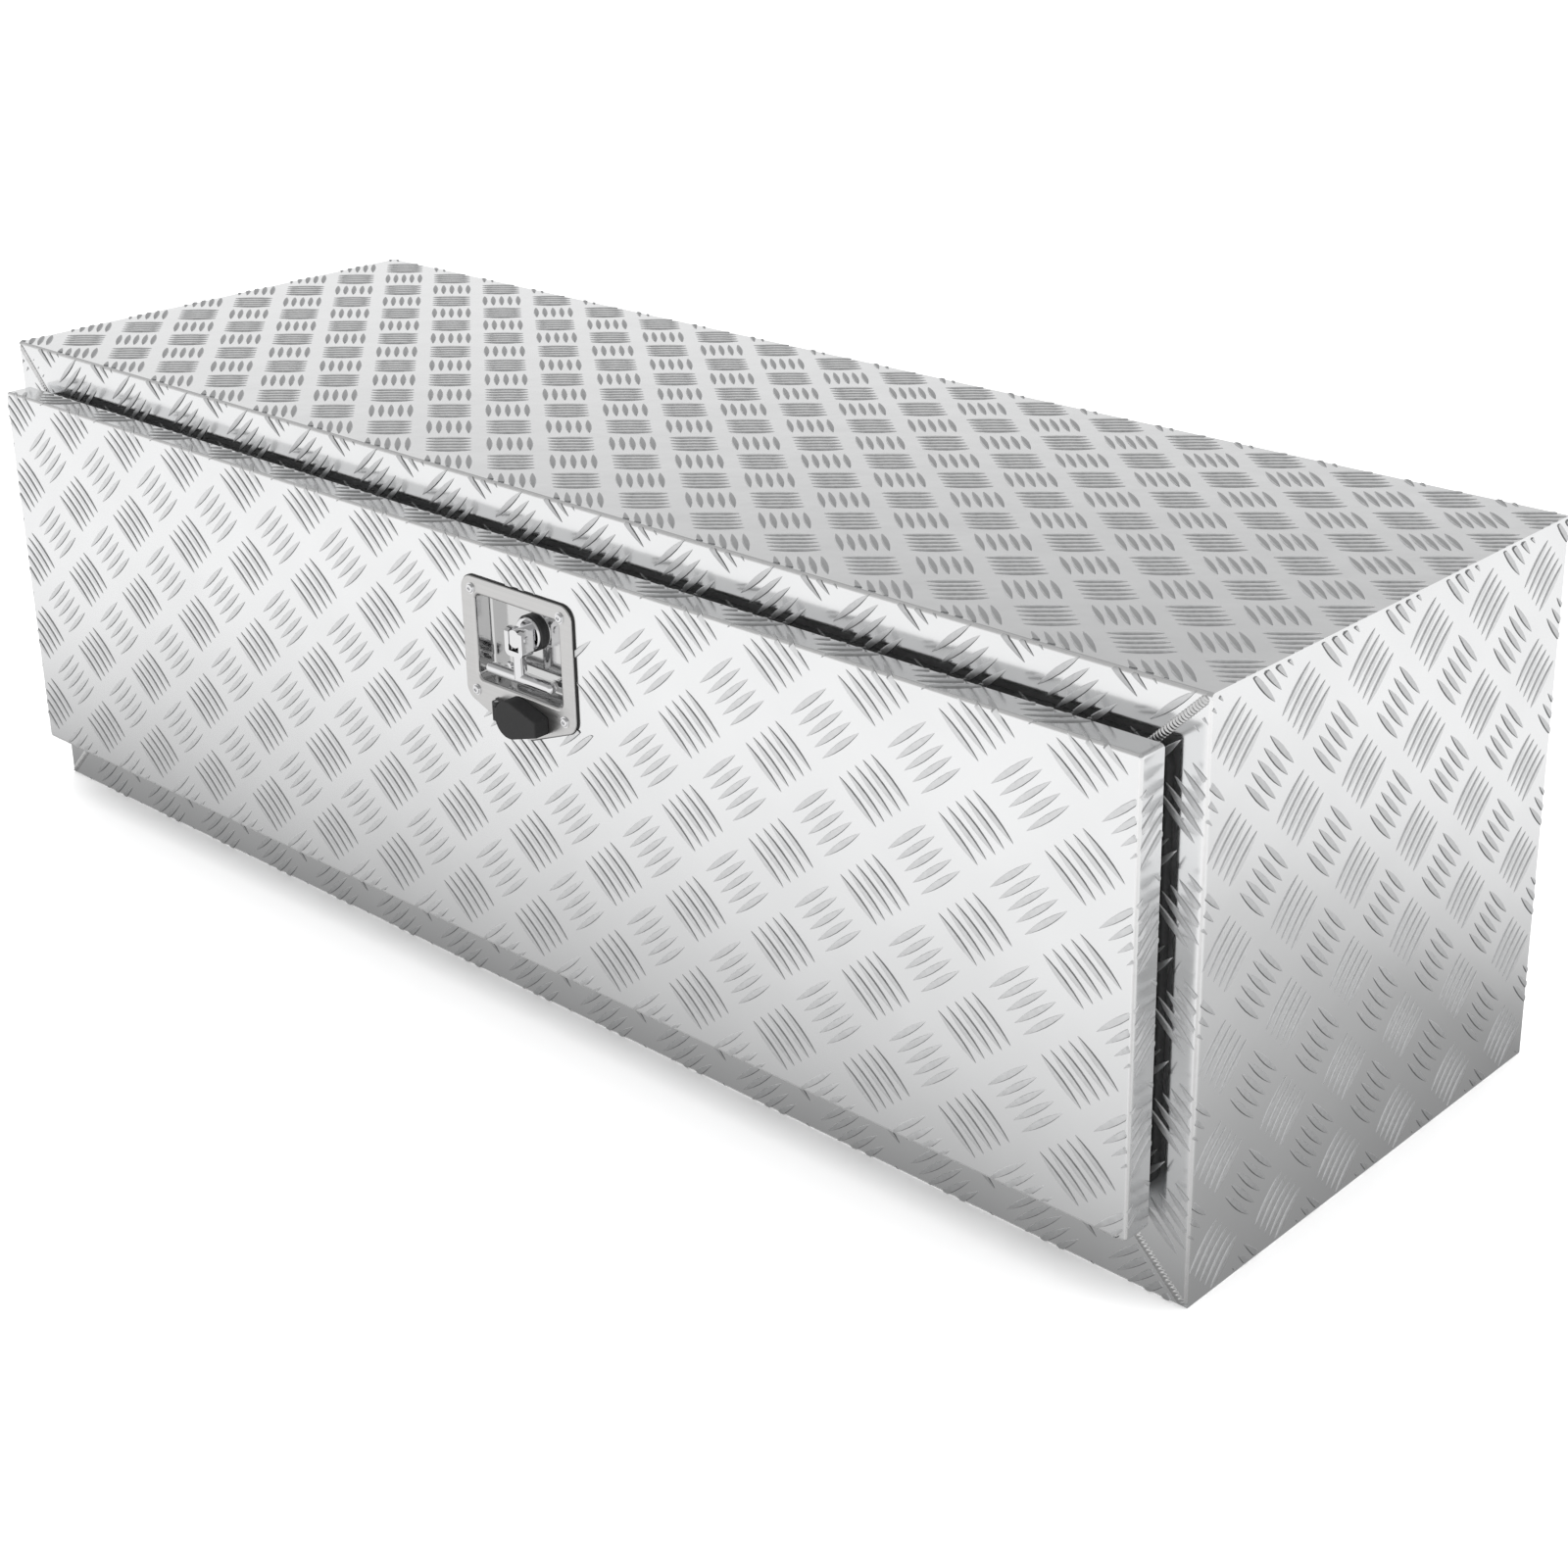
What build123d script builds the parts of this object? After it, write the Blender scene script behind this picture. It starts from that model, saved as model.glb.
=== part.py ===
"""Underbody truck tool box in tread plate, with a drop-down front door.

A welded aluminium case has a flanged front frame. A folded pan door hangs on a piano
hinge along its bottom edge, two slotted stays hold it level when it is open, and a
recessed folding T-handle turns a cam behind the top of the frame. A second, small
cylinder under the recess takes the key, behind a hinged dust cap.

Millimetres. Origin at the centre of the bottom face, +X right, +Y to the back, +Z up.
"""
import os
from build123d import *

# ---------------------------------------------------------------- driving dimensions
# case
BOX_L = 1219.0            # length, 48 in
BOX_D = 406.0             # depth, 16 in
BOX_H = 400.0             # height
SHEET = 2.0               # plate thickness
FOLD_R = 3.0              # outer radius of a fold
END_FLANGE = 45.0         # width of the end flanges of the front frame
SILL = 85.0               # height of the bottom flange
HEAD = 55.0               # height of the top flange
LIP = 18.0                # depth of the lip round the opening, from the frame's face
BEAD_W = 7.0              # mitre weld bead, width
BEAD_H = 1.3              # mitre weld bead, height
SEAM = 3.0                # leg of the fillet welds inside the corners

# door
DOOR_L = 1172.0
DOOR_H = 315.0
DOOR_Z = 52.0             # bottom edge above the ground
DOOR_PAN = 22.0           # depth of the folded pan
DOOR_GAP = 9.0            # between the pan and the front frame
SEAL_W = 12.0
SEAL_INSET = 5.0          # from the edge of the door to the seal
SEAL_CLEAR = 0.3
SEAL_OUTER_R = 14.0
SEAL_INNER_R = 2.0
SEAL_EDGE_R = 3.0
DOOR_EDGE_R = 2.5         # outer rounding between the door's face and its returns
INNER_GAP = 1.0           # seal to the hinge leaf, and to the inset at the top

# piano hinge
HINGE_L = 1120.0
HINGE_Z = 48.0
KNUCKLES = 28
KNUCKLE_R = 4.2
KNUCKLE_GAP = 0.4
LEAF_T = 1.2
LEAF_TOP = 68.0
LEAF_RISE = 0.8           # bottom of the leaves, above the knuckles
PIN_R = 2.45
PIN_PROUD = 1.0
PIN_CHAMFER = 0.5
RUNNING = 0.05            # radial clearance of a running fit

# stays
STAY_X = 556.0            # middle of the stay bar
STAY_T = 3.0
STAY_W = 20.0
STAY_TIP = 8.0            # metal beyond the far end of the slot
STAY_PIVOT_Y = 17.0       # stay pivot, behind the back of the door
STAY_PIVOT_Z = 248.0
STAY_REACH_Y = 28.0       # stay stud, behind the face of the frame
PIVOT_R = 3.0
PIVOT_HEAD_R = 5.5
PIVOT_HEAD_T = 2.0
STUD_R = 4.0
STUD_NECK_R = 3.0
STUD_HEAD_R = 7.0
STUD_HEAD_T = 3.0
STUD_NUT_R = 6.0
STUD_NUT_T = 3.5
SLOT_CLEAR = 0.3
SIDE_PLAY = 0.3           # between the stay bar and the heads beside it
BRACKET_HALF = 15.0       # half height of the bracket's foot
BRACKET_FOOT = 28.0
BRACKET_T = 2.0
EAR_R = 9.0
EAR_T = 3.0
EAR_PLAY = 0.5
BRACKET_RIVET_X = 20.0    # from the ear's inner face
BRACKET_RIVET_Z = 9.0
ANCHOR_T = 3.0
ANCHOR_W = 36.0
ANCHOR_H = 34.0
ANCHOR_R = 4.0
ANCHOR_MID = 19.0         # middle of the anchor plate, behind the frame's sheet
ANCHOR_RIVET_Z = 11.0
ANCHOR_RIVET_Y = 8.0      # in from the back edge of the lip
FLAT_RIVET_T = 1.2

# rivets with tapered heads
RIVET_R = 3.2
RIVET_T = 1.4
RIVET_TAPER = 35.0

# lock
LOCK_X = 64.0             # middle of the lock plate's four screws
LOCK_Z = 295.0
PLATE_W = 114.0
PLATE_H = 94.0
PLATE_T = 1.5
TAB_DROP = 15.0           # how far the pointed foot reaches below the square part
TAB_HALF = 9.0            # half width of the foot's tip
SHOULDER = 3.5            # where the foot starts, above the square part's lower edge
OUTLINE_R = 11.0          # rounding of the plate's corners
GASKET_T = 1.0
GASKET_EDGE = 0.6         # how far the gasket shows round the plate
PLATE_EDGE_R = 0.8
RECESS_W = 87.0
RECESS_H = 63.5
RECESS_RISE = 2.6         # middle of the recess, above the middle of the screws
RECESS_DEPTH = 15.5
RECESS_WALL = 1.5
RECESS_R = 5.0            # rounding of the recess's corners, seen from the front
RECESS_FLOOR_R = 2.5      # rounding between its walls and its floor
RIM_R = 2.5               # rolled edge of the recess
CUTOUT_EDGE = 2.5         # how far the door's cut-out clears the recess
CUTOUT_R = 8.0
HOLE_CLEAR = 0.3          # radial clearance round the cylinders
SCREW_CLEAR = 0.2
SHAFT_RISE = 12.0         # shaft axis above the middle of the screws
SHAFT_R = 7.5
HANDLE_DROP = 30.0        # T-bar below the shaft's axis
BAR_L = 69.0
BAR_R = 4.0
CAM_L = 50.0
CAM_T = 4.0
CAM_ROOT_R = 12.0
CAM_TIP_R = 7.0
KEY_DROP = 45.5           # key cylinder below the middle of the screws
KEY_BARREL_R = 9.0
BARREL_R = 11.0
SCREW_R = 2.5
SCREW_PLACES = [(-46, 38), (46, 38), (-46, -38), (46, -38)]
SCREW_NUT_HALF = 4.0
SCREW_NUT_T = 3.5
DISH_RIVET_X = 27.0
DISH_RIVET_Z = -20.0
DISH_RIVET_R = 3.5
DISH_RIVET_T = 1.5
DISH_RIVET_TAPER = 30.0
SHAFT_HOLE_R = 20.0       # hole in the inner panel round the shaft
CAP_DEPTH = 12.5          # how far the dust cap stands out from the plate

# ---------------------------------------------------------------- derived places
HALF_L = BOX_L / 2
HALF_D = BOX_D / 2
FRAME_Y = -HALF_D
FRAME_BACK = FRAME_Y + SHEET
LIP_BACK = FRAME_Y + LIP
OPEN_X = HALF_L - END_FLANGE
OPEN_TOP = BOX_H - HEAD
DOOR_BACK = FRAME_Y - DOOR_GAP
DOOR_FRONT = DOOR_BACK - DOOR_PAN
DOOR_MID_Z = DOOR_Z + DOOR_H / 2
HINGE_Y = (FRAME_Y + DOOR_BACK) / 2
PLATE_BACK = DOOR_FRONT - GASKET_T
PLATE_FRONT = PLATE_BACK - PLATE_T
FLOOR_FRONT = PLATE_FRONT + RECESS_DEPTH
FLOOR_BACK = FLOOR_FRONT + RECESS_WALL
SHAFT_Z = LOCK_Z + SHAFT_RISE
KEY_Z = LOCK_Z - KEY_DROP

os.makedirs("parts", exist_ok=True)


def save(builder, name):
    """Label a finished piece and write it as its own STEP file."""
    builder.part.label = name
    export_step(builder.part, f"parts/{name}.step")


def facing_front(y):
    """A plane at depth y seen from the front: local x is X, local y is Z, normal is -Y."""
    return Plane.XZ.offset(-y)


def edges_at(builder, axis, **where):
    """Edges parallel to an axis whose middle lies at the given X, Y or Z."""
    near = 0.05
    found = ShapeList()
    for edge in builder.edges().filter_by(axis):
        middle = edge.center()
        if all(abs(getattr(middle, name) - value) < near for name, value in where.items()):
            found.append(edge)
    return found


def slab(x0, x1, y0, y1, z0, z1):
    """An upright block between two corners, added to the current BuildPart."""
    with Locations((x0, y0, z0)):
        Box(x1 - x0, y1 - y0, z1 - z0, align=(Align.MIN, Align.MIN, Align.MIN))


def rod(plane, radius, length, mode=Mode.ADD):
    """A round bar that starts on a plane and runs along its normal."""
    with Locations(plane):
        Cylinder(radius, length, align=(Align.CENTER, Align.CENTER, Align.MIN), mode=mode)


# ---------------------------------------------------------------- case panels
def frame_side(z_edge, z_inner, z_open):
    """Outline of the top or bottom flange, mitred at 45 degrees at both ends."""
    toward = 1 if z_inner > z_edge else -1
    mitre_z = z_edge + toward * END_FLANGE
    right = [
        (HALF_L, z_edge),
        (HALF_L, z_inner),
        (HALF_L - SHEET, z_inner),
        (OPEN_X, mitre_z),
        (OPEN_X, z_open),
    ]
    left = [(-x, z) for x, z in reversed(right)]
    return right + left


for name, z_low, z_edge, z_inner, z_open, lip_low in (
    ("top_panel", BOX_H - SHEET, BOX_H, BOX_H - SHEET, OPEN_TOP, OPEN_TOP),
    ("bottom_panel", 0.0, 0.0, SHEET, SILL, SILL - SHEET),
):
    with BuildPart() as level_panel:
        slab(-HALF_L, HALF_L, -HALF_D, HALF_D, z_low, z_low + SHEET)
        with BuildSketch(facing_front(FRAME_BACK)):
            with BuildLine():
                Polyline(*frame_side(z_edge, z_inner, z_open), close=True)
            make_face()
        extrude(amount=SHEET)
        slab(-OPEN_X, OPEN_X, FRAME_BACK, LIP_BACK, lip_low, lip_low + SHEET)
        fillet(edges_at(level_panel, Axis.X, Y=FRAME_Y, Z=z_edge), FOLD_R)
        fillet(edges_at(level_panel, Axis.X, Y=FRAME_BACK, Z=z_inner), FOLD_R - SHEET)
        fillet(edges_at(level_panel, Axis.X, Y=FRAME_Y, Z=z_open), SHEET / 2)
    save(level_panel, name)

with BuildPart() as back_panel:
    slab(-HALF_L + SHEET, HALF_L - SHEET, HALF_D - SHEET, HALF_D, SHEET, BOX_H - SHEET)
save(back_panel, "back_panel")

for side, sign in (("left", -1), ("right", 1)):
    plate_in = sign * (HALF_L - SHEET)
    plate_out = sign * HALF_L
    lip_in = sign * OPEN_X
    lip_out = sign * (OPEN_X + SHEET)
    with BuildPart() as end_panel:
        slab(min(plate_in, plate_out), max(plate_in, plate_out), -HALF_D, HALF_D, SHEET, BOX_H - SHEET)
        with BuildSketch(facing_front(FRAME_BACK)):
            with BuildLine():
                Polyline(
                    (plate_out, SHEET),
                    (plate_out, BOX_H - SHEET),
                    (plate_in, BOX_H - SHEET),
                    (lip_in, BOX_H - END_FLANGE),
                    (lip_in, END_FLANGE),
                    (plate_in, SHEET),
                    close=True,
                )
            make_face()
        extrude(amount=SHEET)
        slab(min(lip_in, lip_out), max(lip_in, lip_out), FRAME_BACK, LIP_BACK, SILL, OPEN_TOP)
        fillet(edges_at(end_panel, Axis.Z, X=plate_out, Y=FRAME_Y), FOLD_R)
        fillet(edges_at(end_panel, Axis.Z, X=plate_in, Y=FRAME_BACK), FOLD_R - SHEET)
    save(end_panel, f"{side}_end_panel")

# one half-round bead along each mitre of the front frame, short of the door's seal above
BEAD_START = 3.0          # from the outer corner, along X
BEAD_END_BELOW = 43.0
BEAD_END_ABOVE = 33.0
with BuildPart() as corner_welds:
    for sign in (-1, 1):
        for corner_z, up, bead_end in ((0.0, 1, BEAD_END_BELOW), (BOX_H, -1, BEAD_END_ABOVE)):
            start = Vector(sign * (HALF_L - BEAD_START), FRAME_Y, corner_z + up * BEAD_START)
            end = Vector(sign * (HALF_L - bead_end), FRAME_Y, corner_z + up * bead_end)
            across = Plane(origin=start, x_dir=(0, -1, 0), z_dir=end - start)
            with BuildSketch(across):
                with BuildLine():
                    ThreePointArc((0, -BEAD_W / 2), (BEAD_H, 0), (0, BEAD_W / 2))
                    Line((0, BEAD_W / 2), (0, -BEAD_W / 2))
                make_face()
            extrude(amount=(end - start).length)
save(corner_welds, "corner_welds")

# fillet welds inside the long corners between the end panels and the other panels
with BuildPart() as seam_welds:
    for sign in (-1, 1):
        for corner_z, up in ((SHEET, 1), (BOX_H - SHEET, -1)):
            corner_x = sign * (HALF_L - SHEET)
            with BuildSketch(facing_front(HALF_D - SHEET)):
                with BuildLine():
                    Polyline(
                        (corner_x, corner_z),
                        (corner_x - sign * SEAM, corner_z),
                        (corner_x, corner_z + up * SEAM),
                        close=True,
                    )
                make_face()
            extrude(amount=BOX_D - 2 * SHEET - FOLD_R)
save(seam_welds, "seam_welds")

# ---------------------------------------------------------------- door
with BuildPart() as door_skin:
    with BuildSketch(facing_front(DOOR_BACK)):
        with Locations((0, DOOR_MID_Z)):
            RectangleRounded(DOOR_L, DOOR_H, FOLD_R)
    extrude(amount=DOOR_PAN)
    fillet(door_skin.faces().sort_by(Axis.Y)[0].edges(), DOOR_EDGE_R)
    with BuildSketch(facing_front(DOOR_BACK)):
        with Locations((0, DOOR_MID_Z)):
            Rectangle(DOOR_L - 2 * SHEET, DOOR_H - 2 * SHEET)
    extrude(amount=DOOR_PAN - SHEET, mode=Mode.SUBTRACT)
    with BuildSketch(facing_front(DOOR_BACK)):
        with Locations((LOCK_X, LOCK_Z + RECESS_RISE)):
            RectangleRounded(RECESS_W + 2 * CUTOUT_EDGE, RECESS_H + 2 * CUTOUT_EDGE, CUTOUT_R)
        with Locations((LOCK_X, KEY_Z)):
            Circle(KEY_BARREL_R + HOLE_CLEAR)
        with Locations(*[(LOCK_X + x, LOCK_Z + z) for x, z in SCREW_PLACES]):
            Circle(SCREW_R + SCREW_CLEAR)
    extrude(amount=DOOR_PAN, mode=Mode.SUBTRACT)
save(door_skin, "door_skin")

with BuildPart() as door_inner_panel:
    with BuildSketch(facing_front(DOOR_BACK)):
        with Locations((0, DOOR_MID_Z)):
            Rectangle(DOOR_L - 2 * SHEET, DOOR_H - 2 * SHEET)
        with Locations((LOCK_X, SHAFT_Z)):
            Circle(SHAFT_HOLE_R, mode=Mode.SUBTRACT)
    extrude(amount=SHEET)
save(door_inner_panel, "door_inner_panel")

SEAL_BOTTOM = LEAF_TOP + INNER_GAP
SEAL_TOP = DOOR_Z + DOOR_H - SEAL_INSET - INNER_GAP
SEAL_OUT_X = DOOR_L / 2 - SEAL_INSET
with BuildPart() as door_seal:
    with BuildSketch(facing_front(FRAME_Y - SEAL_CLEAR)):
        with Locations((0, (SEAL_BOTTOM + SEAL_TOP) / 2)):
            RectangleRounded(2 * SEAL_OUT_X, SEAL_TOP - SEAL_BOTTOM, SEAL_OUTER_R)
            RectangleRounded(
                2 * (SEAL_OUT_X - SEAL_W),
                SEAL_TOP - SEAL_BOTTOM - 2 * SEAL_W,
                SEAL_INNER_R,
                mode=Mode.SUBTRACT,
            )
    extrude(amount=DOOR_GAP - SEAL_CLEAR)
    fillet(door_seal.faces().sort_by(Axis.Y)[-1].edges(), SEAL_EDGE_R)
save(door_seal, "door_seal")

# ---------------------------------------------------------------- piano hinge
PITCH = HINGE_L / KNUCKLES
PIN_L = HINGE_L + 2 * PIN_PROUD
PIN_START = Plane((-PIN_L / 2, HINGE_Y, HINGE_Z), z_dir=(1, 0, 0))
LEAF_BOTTOM = HINGE_Z + KNUCKLE_R + LEAF_RISE
for leaf_name, first, face_y, leaf_y in (
    ("hinge_body_leaf", 0, FRAME_Y, FRAME_Y - LEAF_T),
    ("hinge_door_leaf", 1, DOOR_BACK, DOOR_BACK + LEAF_T),
):
    y_low, y_high = min(face_y, leaf_y), max(face_y, leaf_y)
    with BuildPart() as leaf:
        slab(-HINGE_L / 2, HINGE_L / 2, y_low, y_high, LEAF_BOTTOM, LEAF_TOP)
        for index in range(first, KNUCKLES, 2):
            x_low = -HINGE_L / 2 + index * PITCH + KNUCKLE_GAP / 2
            x_high = x_low + PITCH - KNUCKLE_GAP
            slab(x_low, x_high, y_low, y_high, HINGE_Z, LEAF_BOTTOM)
            rod(Plane((x_low, HINGE_Y, HINGE_Z), z_dir=(1, 0, 0)), KNUCKLE_R, PITCH - KNUCKLE_GAP)
        rod(PIN_START, PIN_R + RUNNING, PIN_L, mode=Mode.SUBTRACT)
    save(leaf, leaf_name)

with BuildPart() as hinge_pin:
    rod(PIN_START, PIN_R, PIN_L)
    chamfer(hinge_pin.edges(), PIN_CHAMFER)
save(hinge_pin, "hinge_pin")

RIVET_Z = (LEAF_BOTTOM + LEAF_TOP) / 2
RIVET_PITCH = 2 * PITCH
RIVET_PHASE = 0.75        # first rivet, in rivet pitches from the hinge's end
for rivet_name, shift, head_y, outward in (
    ("hinge_body_rivets", 0.0, FRAME_Y - LEAF_T, -1),
    ("hinge_door_rivets", PITCH, DOOR_BACK + LEAF_T, 1),
):
    with BuildPart() as hinge_rivets:
        for index in range(KNUCKLES // 2 - 1):
            rivet_x = -HINGE_L / 2 + RIVET_PITCH * (index + RIVET_PHASE) + shift / 2
            with BuildSketch(Plane((rivet_x, head_y, RIVET_Z), z_dir=(0, outward, 0))):
                Circle(RIVET_R)
            extrude(amount=RIVET_T, taper=RIVET_TAPER)
    save(hinge_rivets, rivet_name)

# ---------------------------------------------------------------- stays
# The pivot on the door and the stud on the case lie at one radius from the hinge's axis,
# so the bar turns half as far as the door.
PIVOT = (DOOR_BACK + STAY_PIVOT_Y, STAY_PIVOT_Z)
ARM = ((PIVOT[0] - HINGE_Y) ** 2 + (PIVOT[1] - HINGE_Z) ** 2) ** 0.5
STUD_Y = FRAME_Y + STAY_REACH_Y
STUD_Z = HINGE_Z + (ARM ** 2 - (STUD_Y - HINGE_Y) ** 2) ** 0.5
OPEN_PIVOT = (HINGE_Y - (PIVOT[1] - HINGE_Z), HINGE_Z + (PIVOT[0] - HINGE_Y))
SHORT = Vector(STUD_Y - PIVOT[0], STUD_Z - PIVOT[1]).length
LONG = Vector(STUD_Y - OPEN_PIVOT[0], STUD_Z - OPEN_PIVOT[1]).length
STAY_IN = STAY_X - STAY_T / 2
STAY_OUT = STAY_X + STAY_T / 2
EAR_IN = STAY_OUT + EAR_PLAY
HEAD_OUT = STAY_IN - SIDE_PLAY
ANCHOR_IN = OPEN_X + SHEET


def side_plane(sign, inner_x, y, z):
    """A plane across the box at inner_x on one side, with its normal pointing outward."""
    return Plane(origin=(sign * inner_x, y, z), x_dir=(0, 1, 0), z_dir=(sign, 0, 0))


for side, sign in (("left", -1), ("right", 1)):
    bar_dir = Vector(0, STUD_Y - PIVOT[0], STUD_Z - PIVOT[1]).normalized()
    bar_plane = Plane(origin=(sign * STAY_IN, *PIVOT), x_dir=bar_dir, z_dir=(sign, 0, 0))
    slot_start = SHORT - STUD_R - 3 * SLOT_CLEAR
    slot_end = LONG + STUD_R + SLOT_CLEAR
    bar_end = slot_end + STAY_TIP
    with BuildPart() as stay_bar:
        with BuildSketch(bar_plane):
            with Locations((bar_end / 2 - STAY_W / 4, 0)):
                SlotOverall(bar_end + STAY_W / 2, STAY_W)
            Circle(PIVOT_R + RUNNING, mode=Mode.SUBTRACT)
            with Locations(((slot_start + slot_end) / 2, 0)):
                SlotOverall(slot_end - slot_start, 2 * (STUD_R + SLOT_CLEAR), mode=Mode.SUBTRACT)
        extrude(amount=STAY_T)
    save(stay_bar, f"{side}_stay_bar")

    # angle bracket on the door's back, with the ear that carries the bar
    with BuildPart() as stay_bracket:
        with BuildSketch(side_plane(sign, EAR_IN, DOOR_BACK, STAY_PIVOT_Z)):
            with BuildLine():
                Polyline(
                    (0, -BRACKET_HALF),
                    (0, BRACKET_HALF),
                    (STAY_PIVOT_Y, EAR_R),
                    (STAY_PIVOT_Y, -EAR_R),
                    close=True,
                )
            make_face()
            with Locations((STAY_PIVOT_Y, 0)):
                Circle(EAR_R)
                Circle(PIVOT_R, mode=Mode.SUBTRACT)
        extrude(amount=EAR_T)
        foot = (sign * (EAR_IN + EAR_T), sign * (EAR_IN - BRACKET_FOOT))
        slab(
            min(foot), max(foot),
            DOOR_BACK, DOOR_BACK + BRACKET_T,
            STAY_PIVOT_Z - BRACKET_HALF, STAY_PIVOT_Z + BRACKET_HALF,
        )
    save(stay_bracket, f"{side}_stay_bracket")

    with BuildPart() as stay_pivot:
        rod(side_plane(sign, HEAD_OUT, *PIVOT), PIVOT_R, EAR_IN + EAR_T - HEAD_OUT)
        rod(side_plane(sign, HEAD_OUT - PIVOT_HEAD_T, *PIVOT), PIVOT_HEAD_R, PIVOT_HEAD_T)
    save(stay_pivot, f"{side}_stay_pivot")

    # plate on the lip of the frame, with the stud that the slot rides on
    with BuildPart() as stay_anchor:
        with BuildSketch(side_plane(sign, ANCHOR_IN, FRAME_BACK, STUD_Z)):
            with Locations((ANCHOR_MID, 0)):
                RectangleRounded(ANCHOR_W, ANCHOR_H, ANCHOR_R)
            with Locations((STUD_Y - FRAME_BACK, 0)):
                Circle(STUD_NECK_R, mode=Mode.SUBTRACT)
        extrude(amount=ANCHOR_T)
    save(stay_anchor, f"{side}_stay_anchor")

    with BuildPart() as stay_stud:
        rod(side_plane(sign, HEAD_OUT - STUD_HEAD_T, STUD_Y, STUD_Z), STUD_HEAD_R, STUD_HEAD_T)
        rod(side_plane(sign, HEAD_OUT, STUD_Y, STUD_Z), STUD_R, ANCHOR_IN - HEAD_OUT)
        rod(side_plane(sign, ANCHOR_IN, STUD_Y, STUD_Z), STUD_NECK_R, ANCHOR_T)
        rod(side_plane(sign, ANCHOR_IN + ANCHOR_T, STUD_Y, STUD_Z), STUD_NUT_R, STUD_NUT_T)
    save(stay_stud, f"{side}_stay_stud")

with BuildPart() as anchor_rivets:
    for sign in (-1, 1):
        for rivet_z in (STUD_Z - ANCHOR_RIVET_Z, STUD_Z + ANCHOR_RIVET_Z):
            for inner_x in (OPEN_X - FLAT_RIVET_T, ANCHOR_IN + ANCHOR_T):
                rod(side_plane(sign, inner_x, LIP_BACK - ANCHOR_RIVET_Y, rivet_z), RIVET_R, FLAT_RIVET_T)
save(anchor_rivets, "anchor_rivets")

with BuildPart() as bracket_rivets:
    for sign in (-1, 1):
        for rivet_z in (STAY_PIVOT_Z - BRACKET_RIVET_Z, STAY_PIVOT_Z + BRACKET_RIVET_Z):
            rivet_at = (sign * (EAR_IN - BRACKET_RIVET_X), DOOR_BACK + BRACKET_T, rivet_z)
            with BuildSketch(Plane(rivet_at, z_dir=(0, 1, 0))):
                Circle(RIVET_R)
            extrude(amount=RIVET_T, taper=RIVET_TAPER)
save(bracket_rivets, "bracket_rivets")


# ---------------------------------------------------------------- lock plate
def lock_outline(grow):
    """The lock plate's outline: square above, with a pointed foot round the key cylinder."""
    half_w = PLATE_W / 2 + grow
    top = PLATE_H / 2 + grow
    shoulder = -PLATE_H / 2 + SHOULDER - grow / 2
    foot = -PLATE_H / 2 - TAB_DROP - grow
    half_tip = TAB_HALF + grow / 2
    return [
        (half_w, top),
        (half_w, shoulder),
        (half_tip, foot),
        (-half_tip, foot),
        (-half_w, shoulder),
        (-half_w, top),
    ]


LOCK_ON_PLATE = Plane((LOCK_X, PLATE_BACK, LOCK_Z), x_dir=(1, 0, 0), z_dir=(0, -1, 0))
LOCK_ON_SKIN = Plane((LOCK_X, DOOR_FRONT, LOCK_Z), x_dir=(1, 0, 0), z_dir=(0, -1, 0))
LOCK_ON_FLOOR = Plane((LOCK_X, FLOOR_BACK, LOCK_Z), x_dir=(1, 0, 0), z_dir=(0, -1, 0))

with BuildPart() as lock_dish:
    with BuildSketch(LOCK_ON_PLATE):
        with BuildLine():
            FilletPolyline(*lock_outline(0), radius=OUTLINE_R, close=True)
        make_face()
    extrude(amount=PLATE_T)
    fillet(lock_dish.faces().sort_by(Axis.Y)[0].edges(), PLATE_EDGE_R)
    with BuildSketch(LOCK_ON_FLOOR):
        with Locations((0, RECESS_RISE)):
            RectangleRounded(
                RECESS_W + 2 * RECESS_WALL, RECESS_H + 2 * RECESS_WALL, RECESS_R + RECESS_WALL
            )
    extrude(amount=FLOOR_BACK - PLATE_BACK)
    fillet(lock_dish.faces().sort_by(Axis.Y)[-1].edges(), RECESS_FLOOR_R + RECESS_WALL)
    with BuildSketch(LOCK_ON_FLOOR.offset(RECESS_WALL)):
        with Locations((0, RECESS_RISE)):
            RectangleRounded(RECESS_W, RECESS_H, RECESS_R)
    extrude(amount=RECESS_DEPTH, mode=Mode.SUBTRACT)
    recess_floor = lock_dish.faces().filter_by(Axis.Y).filter_by_position(
        Axis.Y, FLOOR_FRONT - RUNNING, FLOOR_FRONT + RUNNING
    )
    fillet(recess_floor.edges(), RECESS_FLOOR_R)
    fillet(lock_dish.faces().filter_by(Axis.Y).sort_by(Axis.Y)[0].inner_wires().edges(), RIM_R)
    with BuildSketch(LOCK_ON_FLOOR):
        with Locations((0, SHAFT_RISE)):
            Circle(BARREL_R + HOLE_CLEAR)
        with Locations((0, -KEY_DROP)):
            Circle(KEY_BARREL_R + HOLE_CLEAR)
        with Locations(*SCREW_PLACES):
            Circle(SCREW_R + SCREW_CLEAR)
    extrude(amount=FLOOR_BACK - PLATE_FRONT, mode=Mode.SUBTRACT)
save(lock_dish, "lock_dish")

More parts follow.
